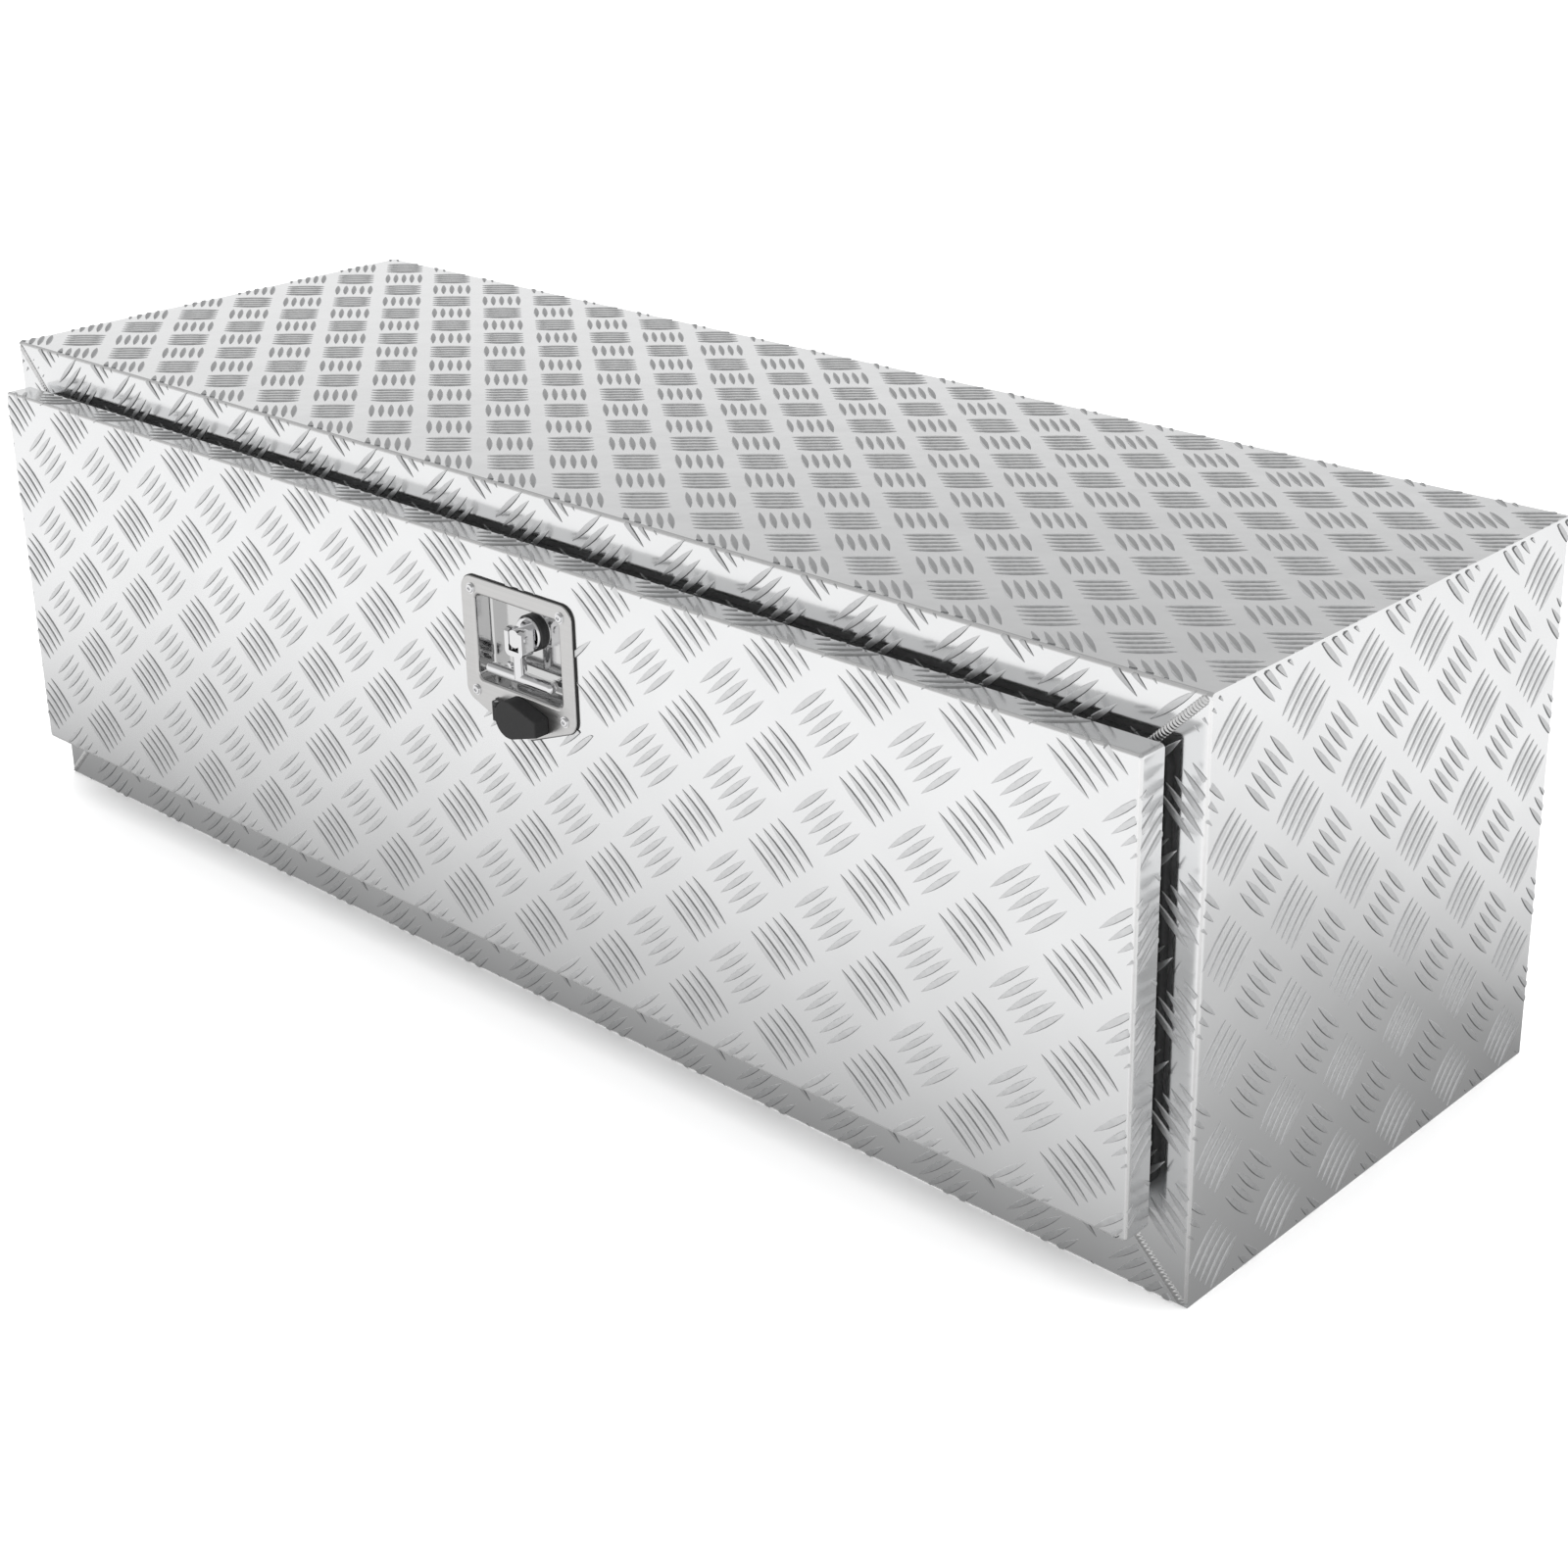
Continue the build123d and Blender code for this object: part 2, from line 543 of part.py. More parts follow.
with BuildPart() as lock_gasket:
    with BuildSketch(LOCK_ON_SKIN):
        with BuildLine():
            FilletPolyline(*lock_outline(GASKET_EDGE), radius=OUTLINE_R + GASKET_EDGE, close=True)
        make_face()
        with Locations((0, RECESS_RISE)):
            RectangleRounded(
                RECESS_W + 2 * CUTOUT_EDGE, RECESS_H + 2 * CUTOUT_EDGE, CUTOUT_R, mode=Mode.SUBTRACT
            )
        with Locations((0, -KEY_DROP)):
            Circle(KEY_BARREL_R + HOLE_CLEAR, mode=Mode.SUBTRACT)
        with Locations(*SCREW_PLACES):
            Circle(SCREW_R + SCREW_CLEAR, mode=Mode.SUBTRACT)
    extrude(amount=GASKET_T)
save(lock_gasket, "lock_gasket")

SCREW_FLANGE_R = 4.0
SCREW_FLANGE_T = 0.7
SCREW_HEAD_R = 3.2
SCREW_HEAD_T = 1.9
SCREW_EDGE_R = 0.8
SCREW_L = 11.0
SOCKET_HALF = 1.4
SOCKET_DEPTH = 1.3
with BuildPart() as lock_screws:
    for place in SCREW_PLACES:
        seat = Plane((LOCK_X + place[0], PLATE_FRONT, LOCK_Z + place[1]), z_dir=(0, -1, 0))
        rod(seat, SCREW_FLANGE_R, SCREW_FLANGE_T)
        rod(seat, SCREW_HEAD_R, SCREW_HEAD_T)
        rod(seat.offset(-SCREW_L), SCREW_R, SCREW_L)
    heads = lock_screws.faces().filter_by(Axis.Y).sort_by(Axis.Y)[:len(SCREW_PLACES)]
    fillet(heads.edges(), SCREW_EDGE_R)
    for place in SCREW_PLACES:
        seat = Plane((LOCK_X + place[0], PLATE_FRONT, LOCK_Z + place[1]), z_dir=(0, -1, 0))
        with BuildSketch(seat.offset(SCREW_HEAD_T)):
            RegularPolygon(SOCKET_HALF, 6, major_radius=False)
        extrude(amount=-SOCKET_DEPTH, mode=Mode.SUBTRACT)
save(lock_screws, "lock_screws")

with BuildPart() as lock_nuts:
    for place in SCREW_PLACES:
        nut_face = Plane((LOCK_X + place[0], DOOR_FRONT + SHEET, LOCK_Z + place[1]), z_dir=(0, 1, 0))
        with BuildSketch(nut_face):
            RegularPolygon(SCREW_NUT_HALF, 6, major_radius=False)
            Circle(SCREW_R, mode=Mode.SUBTRACT)
        extrude(amount=SCREW_NUT_T)
save(lock_nuts, "lock_nuts")

# two rivets on the recess floor, for a stiffening strap behind it
with BuildPart() as dish_rivets:
    for rivet_x in (LOCK_X - DISH_RIVET_X, LOCK_X + DISH_RIVET_X):
        with BuildSketch(Plane((rivet_x, FLOOR_FRONT, LOCK_Z + DISH_RIVET_Z), z_dir=(0, -1, 0))):
            Circle(DISH_RIVET_R)
        extrude(amount=DISH_RIVET_T, taper=DISH_RIVET_TAPER)
save(dish_rivets, "dish_rivets")

# ---------------------------------------------------------------- shaft and its housing
COLLAR_R = 13.3
COLLAR_FRONT = FLOOR_FRONT - 4.0
COLLAR_EDGE = 0.6
BARREL_BACK = DOOR_BACK + 16
HOUSING_NUT_HALF = 14.0
HOUSING_NUT_T = 4.0
RING_R = 12.2
RING_FRONT = COLLAR_FRONT - 2.0
RING_EDGE = 0.8
RING_GAP = 0.3            # between the turning ring and the fixed collar
HANDLE_Y = PLATE_FRONT + 2.0
NOSE_R = 6.5
NOSE_HALF = 4.7
NOSE_FRONT = HANDLE_Y - 4.5
CAM_FRONT = LIP_BACK + 0.6
SQUARE = 9.0
SQUARE_L = 3.6
SQUARE_CLEAR = 0.1
THREAD_R = 4.0
THREAD_END = CAM_FRONT + 14
THREAD_EDGE = 0.6
CLIP_R = 10.5
CLIP_T = 1.2
CLIP_GAP = 6.0
CLIP_PLAY = 0.3
CAM_WASHER_R = 8.0
CAM_WASHER_T = 1.6
CAM_NUT_HALF = 6.5
CAM_NUT_T = 6.5
HANDLE_PIN_R = 2.0


def on_shaft(y):
    """A plane across the shaft's axis at depth y: normal to the back, local y is down."""
    return Plane((LOCK_X, y, SHAFT_Z), x_dir=(1, 0, 0), z_dir=(0, 1, 0))


def on_pin(left):
    """A plane across the handle's pivot pin, left of the shaft's axis: normal to the right."""
    return Plane((LOCK_X - left, HANDLE_Y, SHAFT_Z), z_dir=(1, 0, 0))


with BuildPart() as lock_housing:
    rod(on_shaft(COLLAR_FRONT), COLLAR_R, FLOOR_FRONT - COLLAR_FRONT)
    chamfer(lock_housing.faces().sort_by(Axis.Y)[0].edges(), COLLAR_EDGE)
    rod(on_shaft(FLOOR_FRONT), BARREL_R, BARREL_BACK - FLOOR_FRONT)
    rod(on_shaft(COLLAR_FRONT), SHAFT_R + RUNNING, BARREL_BACK - COLLAR_FRONT, mode=Mode.SUBTRACT)
save(lock_housing, "lock_housing")

with BuildPart() as housing_nut:
    with BuildSketch(on_shaft(FLOOR_BACK)):
        RegularPolygon(HOUSING_NUT_HALF, 6, major_radius=False)
        Circle(BARREL_R, mode=Mode.SUBTRACT)
    extrude(amount=HOUSING_NUT_T)
save(housing_nut, "housing_nut")

with BuildPart() as lock_shaft:
    rod(on_shaft(RING_FRONT), RING_R, COLLAR_FRONT - RING_GAP - RING_FRONT)
    chamfer(lock_shaft.faces().sort_by(Axis.Y)[0].edges(), RING_EDGE)
    with BuildSketch(on_shaft(NOSE_FRONT)):
        Circle(NOSE_R)
        Rectangle(2 * NOSE_HALF, 4 * NOSE_R, mode=Mode.INTERSECT)
    extrude(amount=RING_FRONT - NOSE_FRONT)
    rod(on_shaft(COLLAR_FRONT - RING_GAP), SHAFT_R, CAM_FRONT - COLLAR_FRONT + RING_GAP)
    with BuildSketch(on_shaft(CAM_FRONT)):
        Rectangle(SQUARE, SQUARE)
    extrude(amount=SQUARE_L)
    rod(on_shaft(CAM_FRONT), THREAD_R, THREAD_END - CAM_FRONT)
    chamfer(lock_shaft.faces().sort_by(Axis.Y)[-1].edges(), THREAD_EDGE)
    rod(on_pin(2 * NOSE_R), HANDLE_PIN_R + RUNNING, 4 * NOSE_R, mode=Mode.SUBTRACT)
save(lock_shaft, "lock_shaft")

with BuildPart() as shaft_clip:
    with BuildSketch(on_shaft(BARREL_BACK + CLIP_PLAY)):
        Circle(CLIP_R)
        with Locations((0, -CLIP_R)):
            Rectangle(CLIP_GAP, CLIP_R, mode=Mode.SUBTRACT)
        Circle(SHAFT_R, mode=Mode.SUBTRACT)
    extrude(amount=CLIP_T)
save(shaft_clip, "shaft_clip")

# The cam lies level when it is released and points up behind the head when it holds.
with BuildPart() as lock_cam:
    with BuildSketch(on_shaft(CAM_FRONT)):
        Circle(CAM_ROOT_R)
        with Locations((CAM_TIP_R - CAM_L, 0)):
            Circle(CAM_TIP_R)
        make_hull()
        Rectangle(SQUARE + SQUARE_CLEAR, SQUARE + SQUARE_CLEAR, mode=Mode.SUBTRACT)
    extrude(amount=CAM_T)
save(lock_cam, "lock_cam")

with BuildPart() as cam_washer:
    with BuildSketch(on_shaft(CAM_FRONT + CAM_T)):
        Circle(CAM_WASHER_R)
        Circle(THREAD_R, mode=Mode.SUBTRACT)
    extrude(amount=CAM_WASHER_T)
save(cam_washer, "cam_washer")

with BuildPart() as cam_nut:
    with BuildSketch(on_shaft(CAM_FRONT + CAM_T + CAM_WASHER_T)):
        RegularPolygon(CAM_NUT_HALF, 6, major_radius=False)
        Circle(THREAD_R, mode=Mode.SUBTRACT)
    extrude(amount=CAM_NUT_T)
save(cam_nut, "cam_nut")

# ---------------------------------------------------------------- folding T-handle
FORK_HALF = 9.0
FORK_GAP = 5.0
EYE_R = 7.0
FORK_DEEP = 5.2           # half the fork's thickness, front to back
CROTCH = 9.0              # bottom of the fork's slot, below the pivot
FORK_END = 13.0
FORK_R = 4.0              # rounding of the fork's lower corners
STEM_R = 4.6
BAR_END_R = 3.5           # rounding of the T-bar's ends
PIN_HEAD_R = 2.8
PIN_HEAD_T = 0.8
BAR_Z = SHAFT_Z - HANDLE_DROP
HANDLE_SIDE = Plane((LOCK_X, HANDLE_Y, SHAFT_Z), x_dir=(0, 1, 0), z_dir=(1, 0, 0))
with BuildPart() as t_handle:
    with BuildSketch(HANDLE_SIDE):
        Circle(EYE_R)
        Rectangle(2 * FORK_DEEP, 2 * EYE_R, mode=Mode.INTERSECT)
        with Locations((0, -FORK_END / 2)):
            Rectangle(2 * FORK_DEEP, FORK_END)
    extrude(amount=FORK_HALF, both=True)
    with BuildSketch(HANDLE_SIDE):
        with Locations((0, -CROTCH / 2 + EYE_R)):
            Rectangle(4 * EYE_R, CROTCH + 2 * EYE_R)
    extrude(amount=FORK_GAP, both=True, mode=Mode.SUBTRACT)
    fillet(edges_at(t_handle, Axis.Y, Z=SHAFT_Z - FORK_END), FORK_R)
    with Locations((LOCK_X, HANDLE_Y, BAR_Z)):
        Cylinder(STEM_R, HANDLE_DROP - FORK_END + 1, align=(Align.CENTER, Align.CENTER, Align.MIN))
    rod(Plane((LOCK_X - BAR_L / 2, HANDLE_Y, BAR_Z), z_dir=(1, 0, 0)), BAR_R, BAR_L)
    fillet(t_handle.faces().sort_by(Axis.X)[0].edges(), BAR_END_R)
    fillet(t_handle.faces().sort_by(Axis.X)[-1].edges(), BAR_END_R)
    rod(on_pin(FORK_HALF), HANDLE_PIN_R, 2 * FORK_HALF, mode=Mode.SUBTRACT)
save(t_handle, "t_handle")

with BuildPart() as handle_pin:
    rod(on_pin(FORK_HALF + PIN_HEAD_T), HANDLE_PIN_R, 2 * (FORK_HALF + PIN_HEAD_T))
    rod(on_pin(FORK_HALF + PIN_HEAD_T), PIN_HEAD_R, PIN_HEAD_T)
    rod(on_pin(-FORK_HALF), PIN_HEAD_R, PIN_HEAD_T)
save(handle_pin, "handle_pin")

# ---------------------------------------------------------------- key cylinder
KEY_FLANGE_R = 10.0
KEY_FRONT = PLATE_FRONT - 5.0
KEY_BACK = DOOR_FRONT + 14.0
PLUG_R = 6.0
LEVER_FRONT = KEY_BACK + 1.0
LEVER_L = 28.0
LEVER_T = 2.0
TAIL = 6.0
KEY_EDGE = 0.8
KEY_NUT_HALF = 11.5
KEY_NUT_T = 4.0
KEYWAY_W = 2.0
KEYWAY_H = 8.0
KEYWAY_DEPTH = 10.0
LEVER_W = 14.0
LEVER_TAIL = 4.0          # lever behind the plug's axis
LEVER_SCREW_R = 4.5
LEVER_SCREW_T = 1.8


def on_key(y):
    """A plane across the key cylinder's axis at depth y: normal to the back."""
    return Plane((LOCK_X, y, KEY_Z), x_dir=(1, 0, 0), z_dir=(0, 1, 0))


with BuildPart() as key_housing:
    rod(on_key(KEY_FRONT), KEY_FLANGE_R, PLATE_FRONT - KEY_FRONT)
    chamfer(key_housing.faces().sort_by(Axis.Y)[0].edges(), KEY_EDGE)
    rod(on_key(PLATE_FRONT), KEY_BARREL_R, KEY_BACK - PLATE_FRONT)
    rod(on_key(KEY_FRONT), PLUG_R + RUNNING, KEY_BACK - KEY_FRONT, mode=Mode.SUBTRACT)
save(key_housing, "key_housing")

with BuildPart() as key_nut:
    with BuildSketch(on_key(DOOR_FRONT + SHEET)):
        RegularPolygon(KEY_NUT_HALF, 6, major_radius=False)
        Circle(KEY_BARREL_R, mode=Mode.SUBTRACT)
    extrude(amount=KEY_NUT_T)
save(key_nut, "key_nut")

with BuildPart() as key_plug:
    rod(on_key(KEY_FRONT), PLUG_R, LEVER_FRONT - KEY_FRONT)
    with BuildSketch(on_key(LEVER_FRONT)):
        Rectangle(TAIL, TAIL)
    extrude(amount=LEVER_T)
    with BuildSketch(on_key(KEY_FRONT)):
        Rectangle(KEYWAY_W, KEYWAY_H)
    extrude(amount=KEYWAY_DEPTH, mode=Mode.SUBTRACT)
save(key_plug, "key_plug")

with BuildPart() as key_lever:
    with BuildSketch(on_key(LEVER_FRONT)):
        with Locations((LEVER_L / 2 - LEVER_TAIL, 0)):
            SlotOverall(LEVER_L + 2 * LEVER_TAIL, LEVER_W)
        Rectangle(TAIL, TAIL, mode=Mode.SUBTRACT)
    extrude(amount=LEVER_T)
save(key_lever, "key_lever")

with BuildPart() as lever_screw:
    rod(on_key(LEVER_FRONT + LEVER_T), LEVER_SCREW_R, LEVER_SCREW_T)
save(lever_screw, "lever_screw")

# ---------------------------------------------------------------- dust cap
CAP_R = 14.0
CAP_HOLLOW_R = 11.5
CAP_FRONT = PLATE_FRONT - CAP_DEPTH
CAP_BACK = PLATE_FRONT - 0.3
CAP_SKIN = 4.5            # thickness of the cap's front
CAP_EDGE_R = 1.2
CAP_ROOT = 1.5            # how far the eye's web runs into the cap
CAP_TAB = 28.5            # grip tab, to the right of the cylinder's axis
CAP_TAB_HALF = 5.8
CAP_TAB_END = 2.0
CAP_PIN_X = LOCK_X - 20.0
CAP_PIN_Y = PLATE_FRONT - 5.0
CAP_PIN_R = 1.5
CAP_EYE_R = 3.0
CAP_EYE_HALF = 4.0
CAP_EAR_W = 2.5
CAP_EAR_PLAY = 0.3
CAP_EAR_IN = 2.5          # right edge of the ears, from the pin's axis
CAP_BASE_T = 1.5
CAP_BASE_LEFT = 5.0
CAP_BASE_RIGHT = 3.5

with BuildPart() as dust_cap:
    with BuildSketch(on_key(CAP_FRONT)):
        Circle(CAP_R)
        with Locations((CAP_TAB - CAP_TAB_END / 2, 0)):
            Rectangle(CAP_TAB_END, 2 * CAP_TAB_HALF)
        make_hull()
    extrude(amount=CAP_BACK - CAP_FRONT)
    fillet(dust_cap.faces().sort_by(Axis.Y)[0].edges(), CAP_EDGE_R)
    rod(on_key(CAP_FRONT + CAP_SKIN), CAP_HOLLOW_R, CAP_DEPTH, mode=Mode.SUBTRACT)
    with Locations((CAP_PIN_X, CAP_PIN_Y, KEY_Z)):
        Cylinder(CAP_EYE_R, 2 * CAP_EYE_HALF)
    slab(
        CAP_PIN_X, LOCK_X - CAP_R + CAP_ROOT,
        CAP_PIN_Y - CAP_EYE_R, CAP_PIN_Y,
        KEY_Z - CAP_EYE_HALF, KEY_Z + CAP_EYE_HALF,
    )
    with Locations((CAP_PIN_X, CAP_PIN_Y, KEY_Z)):
        Cylinder(CAP_PIN_R + RUNNING, 3 * CAP_EYE_HALF, mode=Mode.SUBTRACT)
save(dust_cap, "dust_cap")

with BuildPart() as cap_bracket:
    bracket_half = CAP_EYE_HALF + CAP_EAR_PLAY + CAP_EAR_W
    slab(
        CAP_PIN_X - CAP_BASE_LEFT, CAP_PIN_X + CAP_BASE_RIGHT,
        PLATE_FRONT - CAP_BASE_T, PLATE_FRONT,
        KEY_Z - bracket_half, KEY_Z + bracket_half,
    )
    for ear_z in (KEY_Z - bracket_half, KEY_Z + bracket_half - CAP_EAR_W):
        with Locations((CAP_PIN_X, CAP_PIN_Y, ear_z)):
            Cylinder(CAP_EYE_R, CAP_EAR_W, align=(Align.CENTER, Align.CENTER, Align.MIN))
        slab(
            CAP_PIN_X - CAP_EYE_R, CAP_PIN_X + CAP_EAR_IN,
            CAP_PIN_Y, PLATE_FRONT - CAP_BASE_T,
            ear_z, ear_z + CAP_EAR_W,
        )
    with Locations((CAP_PIN_X, CAP_PIN_Y, KEY_Z)):
        Cylinder(CAP_PIN_R, 3 * bracket_half, mode=Mode.SUBTRACT)
save(cap_bracket, "cap_bracket")

with BuildPart() as cap_pin:
    with Locations((CAP_PIN_X, CAP_PIN_Y, KEY_Z)):
        Cylinder(CAP_PIN_R, 2 * bracket_half)
save(cap_pin, "cap_pin")
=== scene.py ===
"""Looks for the tread-plate truck tool box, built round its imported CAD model.

Metres, in the model's own frame: +X right, +Y to the back, +Z up, floor at z = 0.
"""
import math

import bmesh
import bpy
import numpy as np
from mathutils import Matrix, Vector


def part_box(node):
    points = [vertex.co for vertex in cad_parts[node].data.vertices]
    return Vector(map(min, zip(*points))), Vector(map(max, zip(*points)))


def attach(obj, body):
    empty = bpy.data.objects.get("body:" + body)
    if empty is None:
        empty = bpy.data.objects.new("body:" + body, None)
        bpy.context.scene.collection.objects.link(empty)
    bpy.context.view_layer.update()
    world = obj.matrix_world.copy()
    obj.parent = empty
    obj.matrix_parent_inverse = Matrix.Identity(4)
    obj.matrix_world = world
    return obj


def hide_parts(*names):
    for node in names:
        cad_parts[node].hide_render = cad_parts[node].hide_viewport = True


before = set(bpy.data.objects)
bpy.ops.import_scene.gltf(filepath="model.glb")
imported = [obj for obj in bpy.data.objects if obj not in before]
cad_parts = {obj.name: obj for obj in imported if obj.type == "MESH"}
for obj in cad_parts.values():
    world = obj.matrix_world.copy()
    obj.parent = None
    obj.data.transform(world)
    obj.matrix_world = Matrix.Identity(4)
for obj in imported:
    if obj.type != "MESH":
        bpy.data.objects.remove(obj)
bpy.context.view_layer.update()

MM = 0.001

# ---------------------------------------------------------------- places from the CAD
TOP_LOW, TOP_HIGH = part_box("top_panel")
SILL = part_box("bottom_panel")[1].z
OPEN_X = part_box("right_end_panel")[0].x
DOOR_LOW, DOOR_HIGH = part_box("door_skin")
DISH_LOW, DISH_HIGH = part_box("lock_dish")
HALF_L = TOP_HIGH.x
HALF_D = TOP_HIGH.y
BOX_H = TOP_HIGH.z
LIP_DEPTH = 18 * MM
SHEET = 2 * MM
CASE_FOLD = 3 * MM
LIP_FOLD = 1 * MM
DOOR_FOLD = 2.5 * MM
OPEN_TOP = TOP_LOW.z
END_FLANGE = HALF_L - OPEN_X

# ---------------------------------------------------------------- tread bars
LENGTH_SHARE = 0.385      # of the pattern's diagonal
STEP_SHARE = 0.083
BAR_W = 4.9 * MM
BAR_H = 0.9 * MM
BARS_IN_GROUP = 5
BAR_TIP = 0.12 * MM
STATIONS = 9
RIBS = np.array([-1.0, -0.72, 0.0, 0.72, 1.0])
RIB_RISE = np.array([-0.25, 0.9, 1.0, 0.9, -0.25])
SHORTEST_BAR = 2 * MM
FIRST_STEEP, LAST_STEEP = 0, 3    # strips of a bar, counted across it
# the next three pick the steep edge of a bar that gets a dark colour as painted shade: the one facing
# down, or the one facing right
SHADED_EDGE_FINISH = 2
SHADE_BELOW = (0, -1)
SHADE_RIGHT = (1, 0)
MID_STATION = STATIONS // 2
MID_RIB = len(RIBS) // 2
CUT_ROUNDS = 4
LEVEL = 1e-6
FRONT_PITCH = (80 * MM, 67 * MM)
END_PITCH = (70 * MM, 68 * MM)
TOP_PITCH = (69 * MM, 58 * MM)
# middle of one group of bars that slants up, on each face
TOP_START = (50.5 * MM, -105 * MM)
BOTTOM_START = (30 * MM, -60 * MM)
HEAD_START = (-122.3 * MM, 376 * MM)
SILL_START = (180 * MM, 12 * MM)
END_START = (-HALF_D + 27 * MM, BOX_H - 34 * MM)
BACK_START = (40 * MM, BOX_H - 40 * MM)
DOOR_START = (DOOR_LOW.x + 55 * MM, DOOR_HIGH.z - 46 * MM)
BEHIND_DOOR = 3 * MM      # how far behind the door's edge a flange's pattern changes region
PAN_CORNER = 3 * MM
PLATE_COVER = 5 * MM      # how far bars reach under the lock plate
WELD_CLEAR = 6 * MM
EDGE_CLEAR = 0.4 * MM
DISH_LOBE = 15 * MM       # how far the lock plate's lobe hangs below its straight edge

# ---------------------------------------------------------------- weld beads
BEAD_W = 6.4 * MM
BEAD_H = 1.5 * MM
BEAD_SINK = 0.3 * MM
BEAD_START = 2.5 * MM
BEAD_END = 4 * MM
BEAD_STATIONS = 161
BEAD_RIBS = 13
BEAD_TIP = 0.2            # size of the bead's ends, as a share of its middle
RIPPLE_WIDTH = 0.12       # shares of the bead's width and height that the ripples take
RIPPLE_HEIGHT = 0.35
RIPPLE = 2.6 * MM
RIPPLE_BEND = 0.5

# ---------------------------------------------------------------- painted highlight lines on folds
LINE_RISE = 0.08 * MM
LINE_SINK = 0.4 * MM
LINE_ANGLES = (20, 35, 50, 65)
LINE_INSET = 4 * MM


# ---------------------------------------------------------------- materials
def finish(
    name, colour, rough, metallic=1.0, mottle=0.04, rough_spread=0.04, scale=(30, 30, 30), bump=0.02,
):
    """A procedural finish: fine noise varies the colour, the roughness and the surface."""
    material = bpy.data.materials.new(name)
    material.use_nodes = True
    nodes = material.node_tree.nodes
    links = material.node_tree.links
    shader = nodes["Principled BSDF"]
    shader.inputs["Metallic"].default_value = metallic
    place = nodes.new("ShaderNodeTexCoord")
    mapping = nodes.new("ShaderNodeMapping")
    mapping.inputs["Scale"].default_value = scale
    noise = nodes.new("ShaderNodeTexNoise")
    noise.inputs["Scale"].default_value = 1.0
    noise.inputs["Detail"].default_value = 3.0
    links.new(place.outputs["Object"], mapping.inputs["Vector"])
    links.new(mapping.outputs["Vector"], noise.inputs["Vector"])
    tint = nodes.new("ShaderNodeValToRGB")
    for element, factor in zip(tint.color_ramp.elements, (1 - mottle, 1 + mottle)):
        element.color = (*[min(channel * factor, 1.0) for channel in colour], 1.0)
    tint.color_ramp.elements[0].position = 0.3
    tint.color_ramp.elements[1].position = 0.7
    links.new(noise.outputs["Fac"], tint.inputs["Fac"])
    links.new(tint.outputs["Color"], shader.inputs["Base Color"])
    spread = nodes.new("ShaderNodeMapRange")
    spread.inputs["To Min"].default_value = max(rough - rough_spread, 0.02)
    spread.inputs["To Max"].default_value = rough + rough_spread
    links.new(noise.outputs["Fac"], spread.inputs["Value"])
    links.new(spread.outputs["Result"], shader.inputs["Roughness"])
    if bump:
        relief = nodes.new("ShaderNodeBump")
        relief.inputs["Strength"].default_value = bump
        relief.inputs["Distance"].default_value = 1 * MM
        links.new(noise.outputs["Fac"], relief.inputs["Height"])
        links.new(relief.outputs["Normal"], shader.inputs["Normal"])
    return material


FINE = (300, 300, 300)
CASE_SHEET = finish("case_sheet", (0.86, 0.865, 0.87), 0.13, mottle=0.02, bump=0.25, scale=(16, 16, 16))
DOOR_SHEET = finish("door_sheet", (0.88, 0.885, 0.89), 0.16, mottle=0.02, bump=0.2, scale=(14, 14, 14))
# painted shade: a dark colour for the one steep edge of each bar that faces down or right
BAR_EDGE_SHADE = finish("bar_edge", (0.3, 0.303, 0.306), 0.45, mottle=0.1, scale=FINE)
# each set of bars has one finish in a lit copy and a darker copy, painted shade chosen by the way a bar
# slants, and then a painted shade colour for one steep edge
TOP_BARS = (
    finish("top_bar_bright", (0.8, 0.805, 0.81), 0.3, mottle=0.05, scale=FINE),
    finish("top_bar_painted_shade", (0.56, 0.565, 0.57), 0.48, mottle=0.05, scale=FINE),
    finish("top_bar_edge_painted_shade", (0.64, 0.645, 0.65), 0.42, mottle=0.1, scale=FINE),
)
SIDE_BARS = (
    finish("side_bar", (0.76, 0.765, 0.77), 0.45, mottle=0.05, scale=FINE),
    finish("side_bar_painted_shade", (0.66, 0.665, 0.67), 0.5, mottle=0.05, scale=FINE),
    BAR_EDGE_SHADE,
)
DOOR_BARS = (
    finish("door_bar", (0.75, 0.755, 0.76), 0.42, mottle=0.05, scale=FINE),
    finish("door_bar_painted_shade", (0.73, 0.735, 0.74), 0.38, mottle=0.05, scale=FINE),
    finish("door_bar_edge_painted_shade", (0.4, 0.403, 0.406), 0.45, mottle=0.1, scale=FINE),
)
FLANGE_BARS = (
    finish("flange_bar", (0.7, 0.705, 0.71), 0.4, mottle=0.05, scale=FINE),
    finish("flange_bar_painted_shade", (0.6, 0.605, 0.61), 0.45, mottle=0.05, scale=FINE),
    BAR_EDGE_SHADE,
)
# the recess inside the lock plate is polished, the plate itself brushed
RECESS_DEEPER = 1.2 * MM


def recessed(brushed, polished, node, front):
    """A brushed finish that turns into a polished one behind the front of a node."""
    material = brushed.copy()
    material.name = "lock_plate"
    nodes = material.node_tree.nodes
    links = material.node_tree.links
    shader = nodes["Principled BSDF"]
    place = nodes.new("ShaderNodeTexCoord")
    split = nodes.new("ShaderNodeSeparateXYZ")
    links.new(place.outputs["Object"], split.inputs["Vector"])
    inside = nodes.new("ShaderNodeMath")
    inside.operation = "GREATER_THAN"
    inside.inputs[1].default_value = (node.matrix_world.inverted() @ front).y + RECESS_DEEPER
    links.new(split.outputs["Y"], inside.inputs[0])
    for socket, value in (("Base Color", polished[0]), ("Roughness", polished[1])):
        mix = nodes.new("ShaderNodeMix")
        mix.data_type = "RGBA" if socket == "Base Color" else "FLOAT"
        first, second, result = (6, 7, 2) if socket == "Base Color" else (2, 3, 0)
        links.new(inside.outputs[0], mix.inputs[0])
        links.new(shader.inputs[socket].links[0].from_socket, mix.inputs[first])
        mix.inputs[second].default_value = value
        links.new(mix.outputs[result], shader.inputs[socket])
    return material


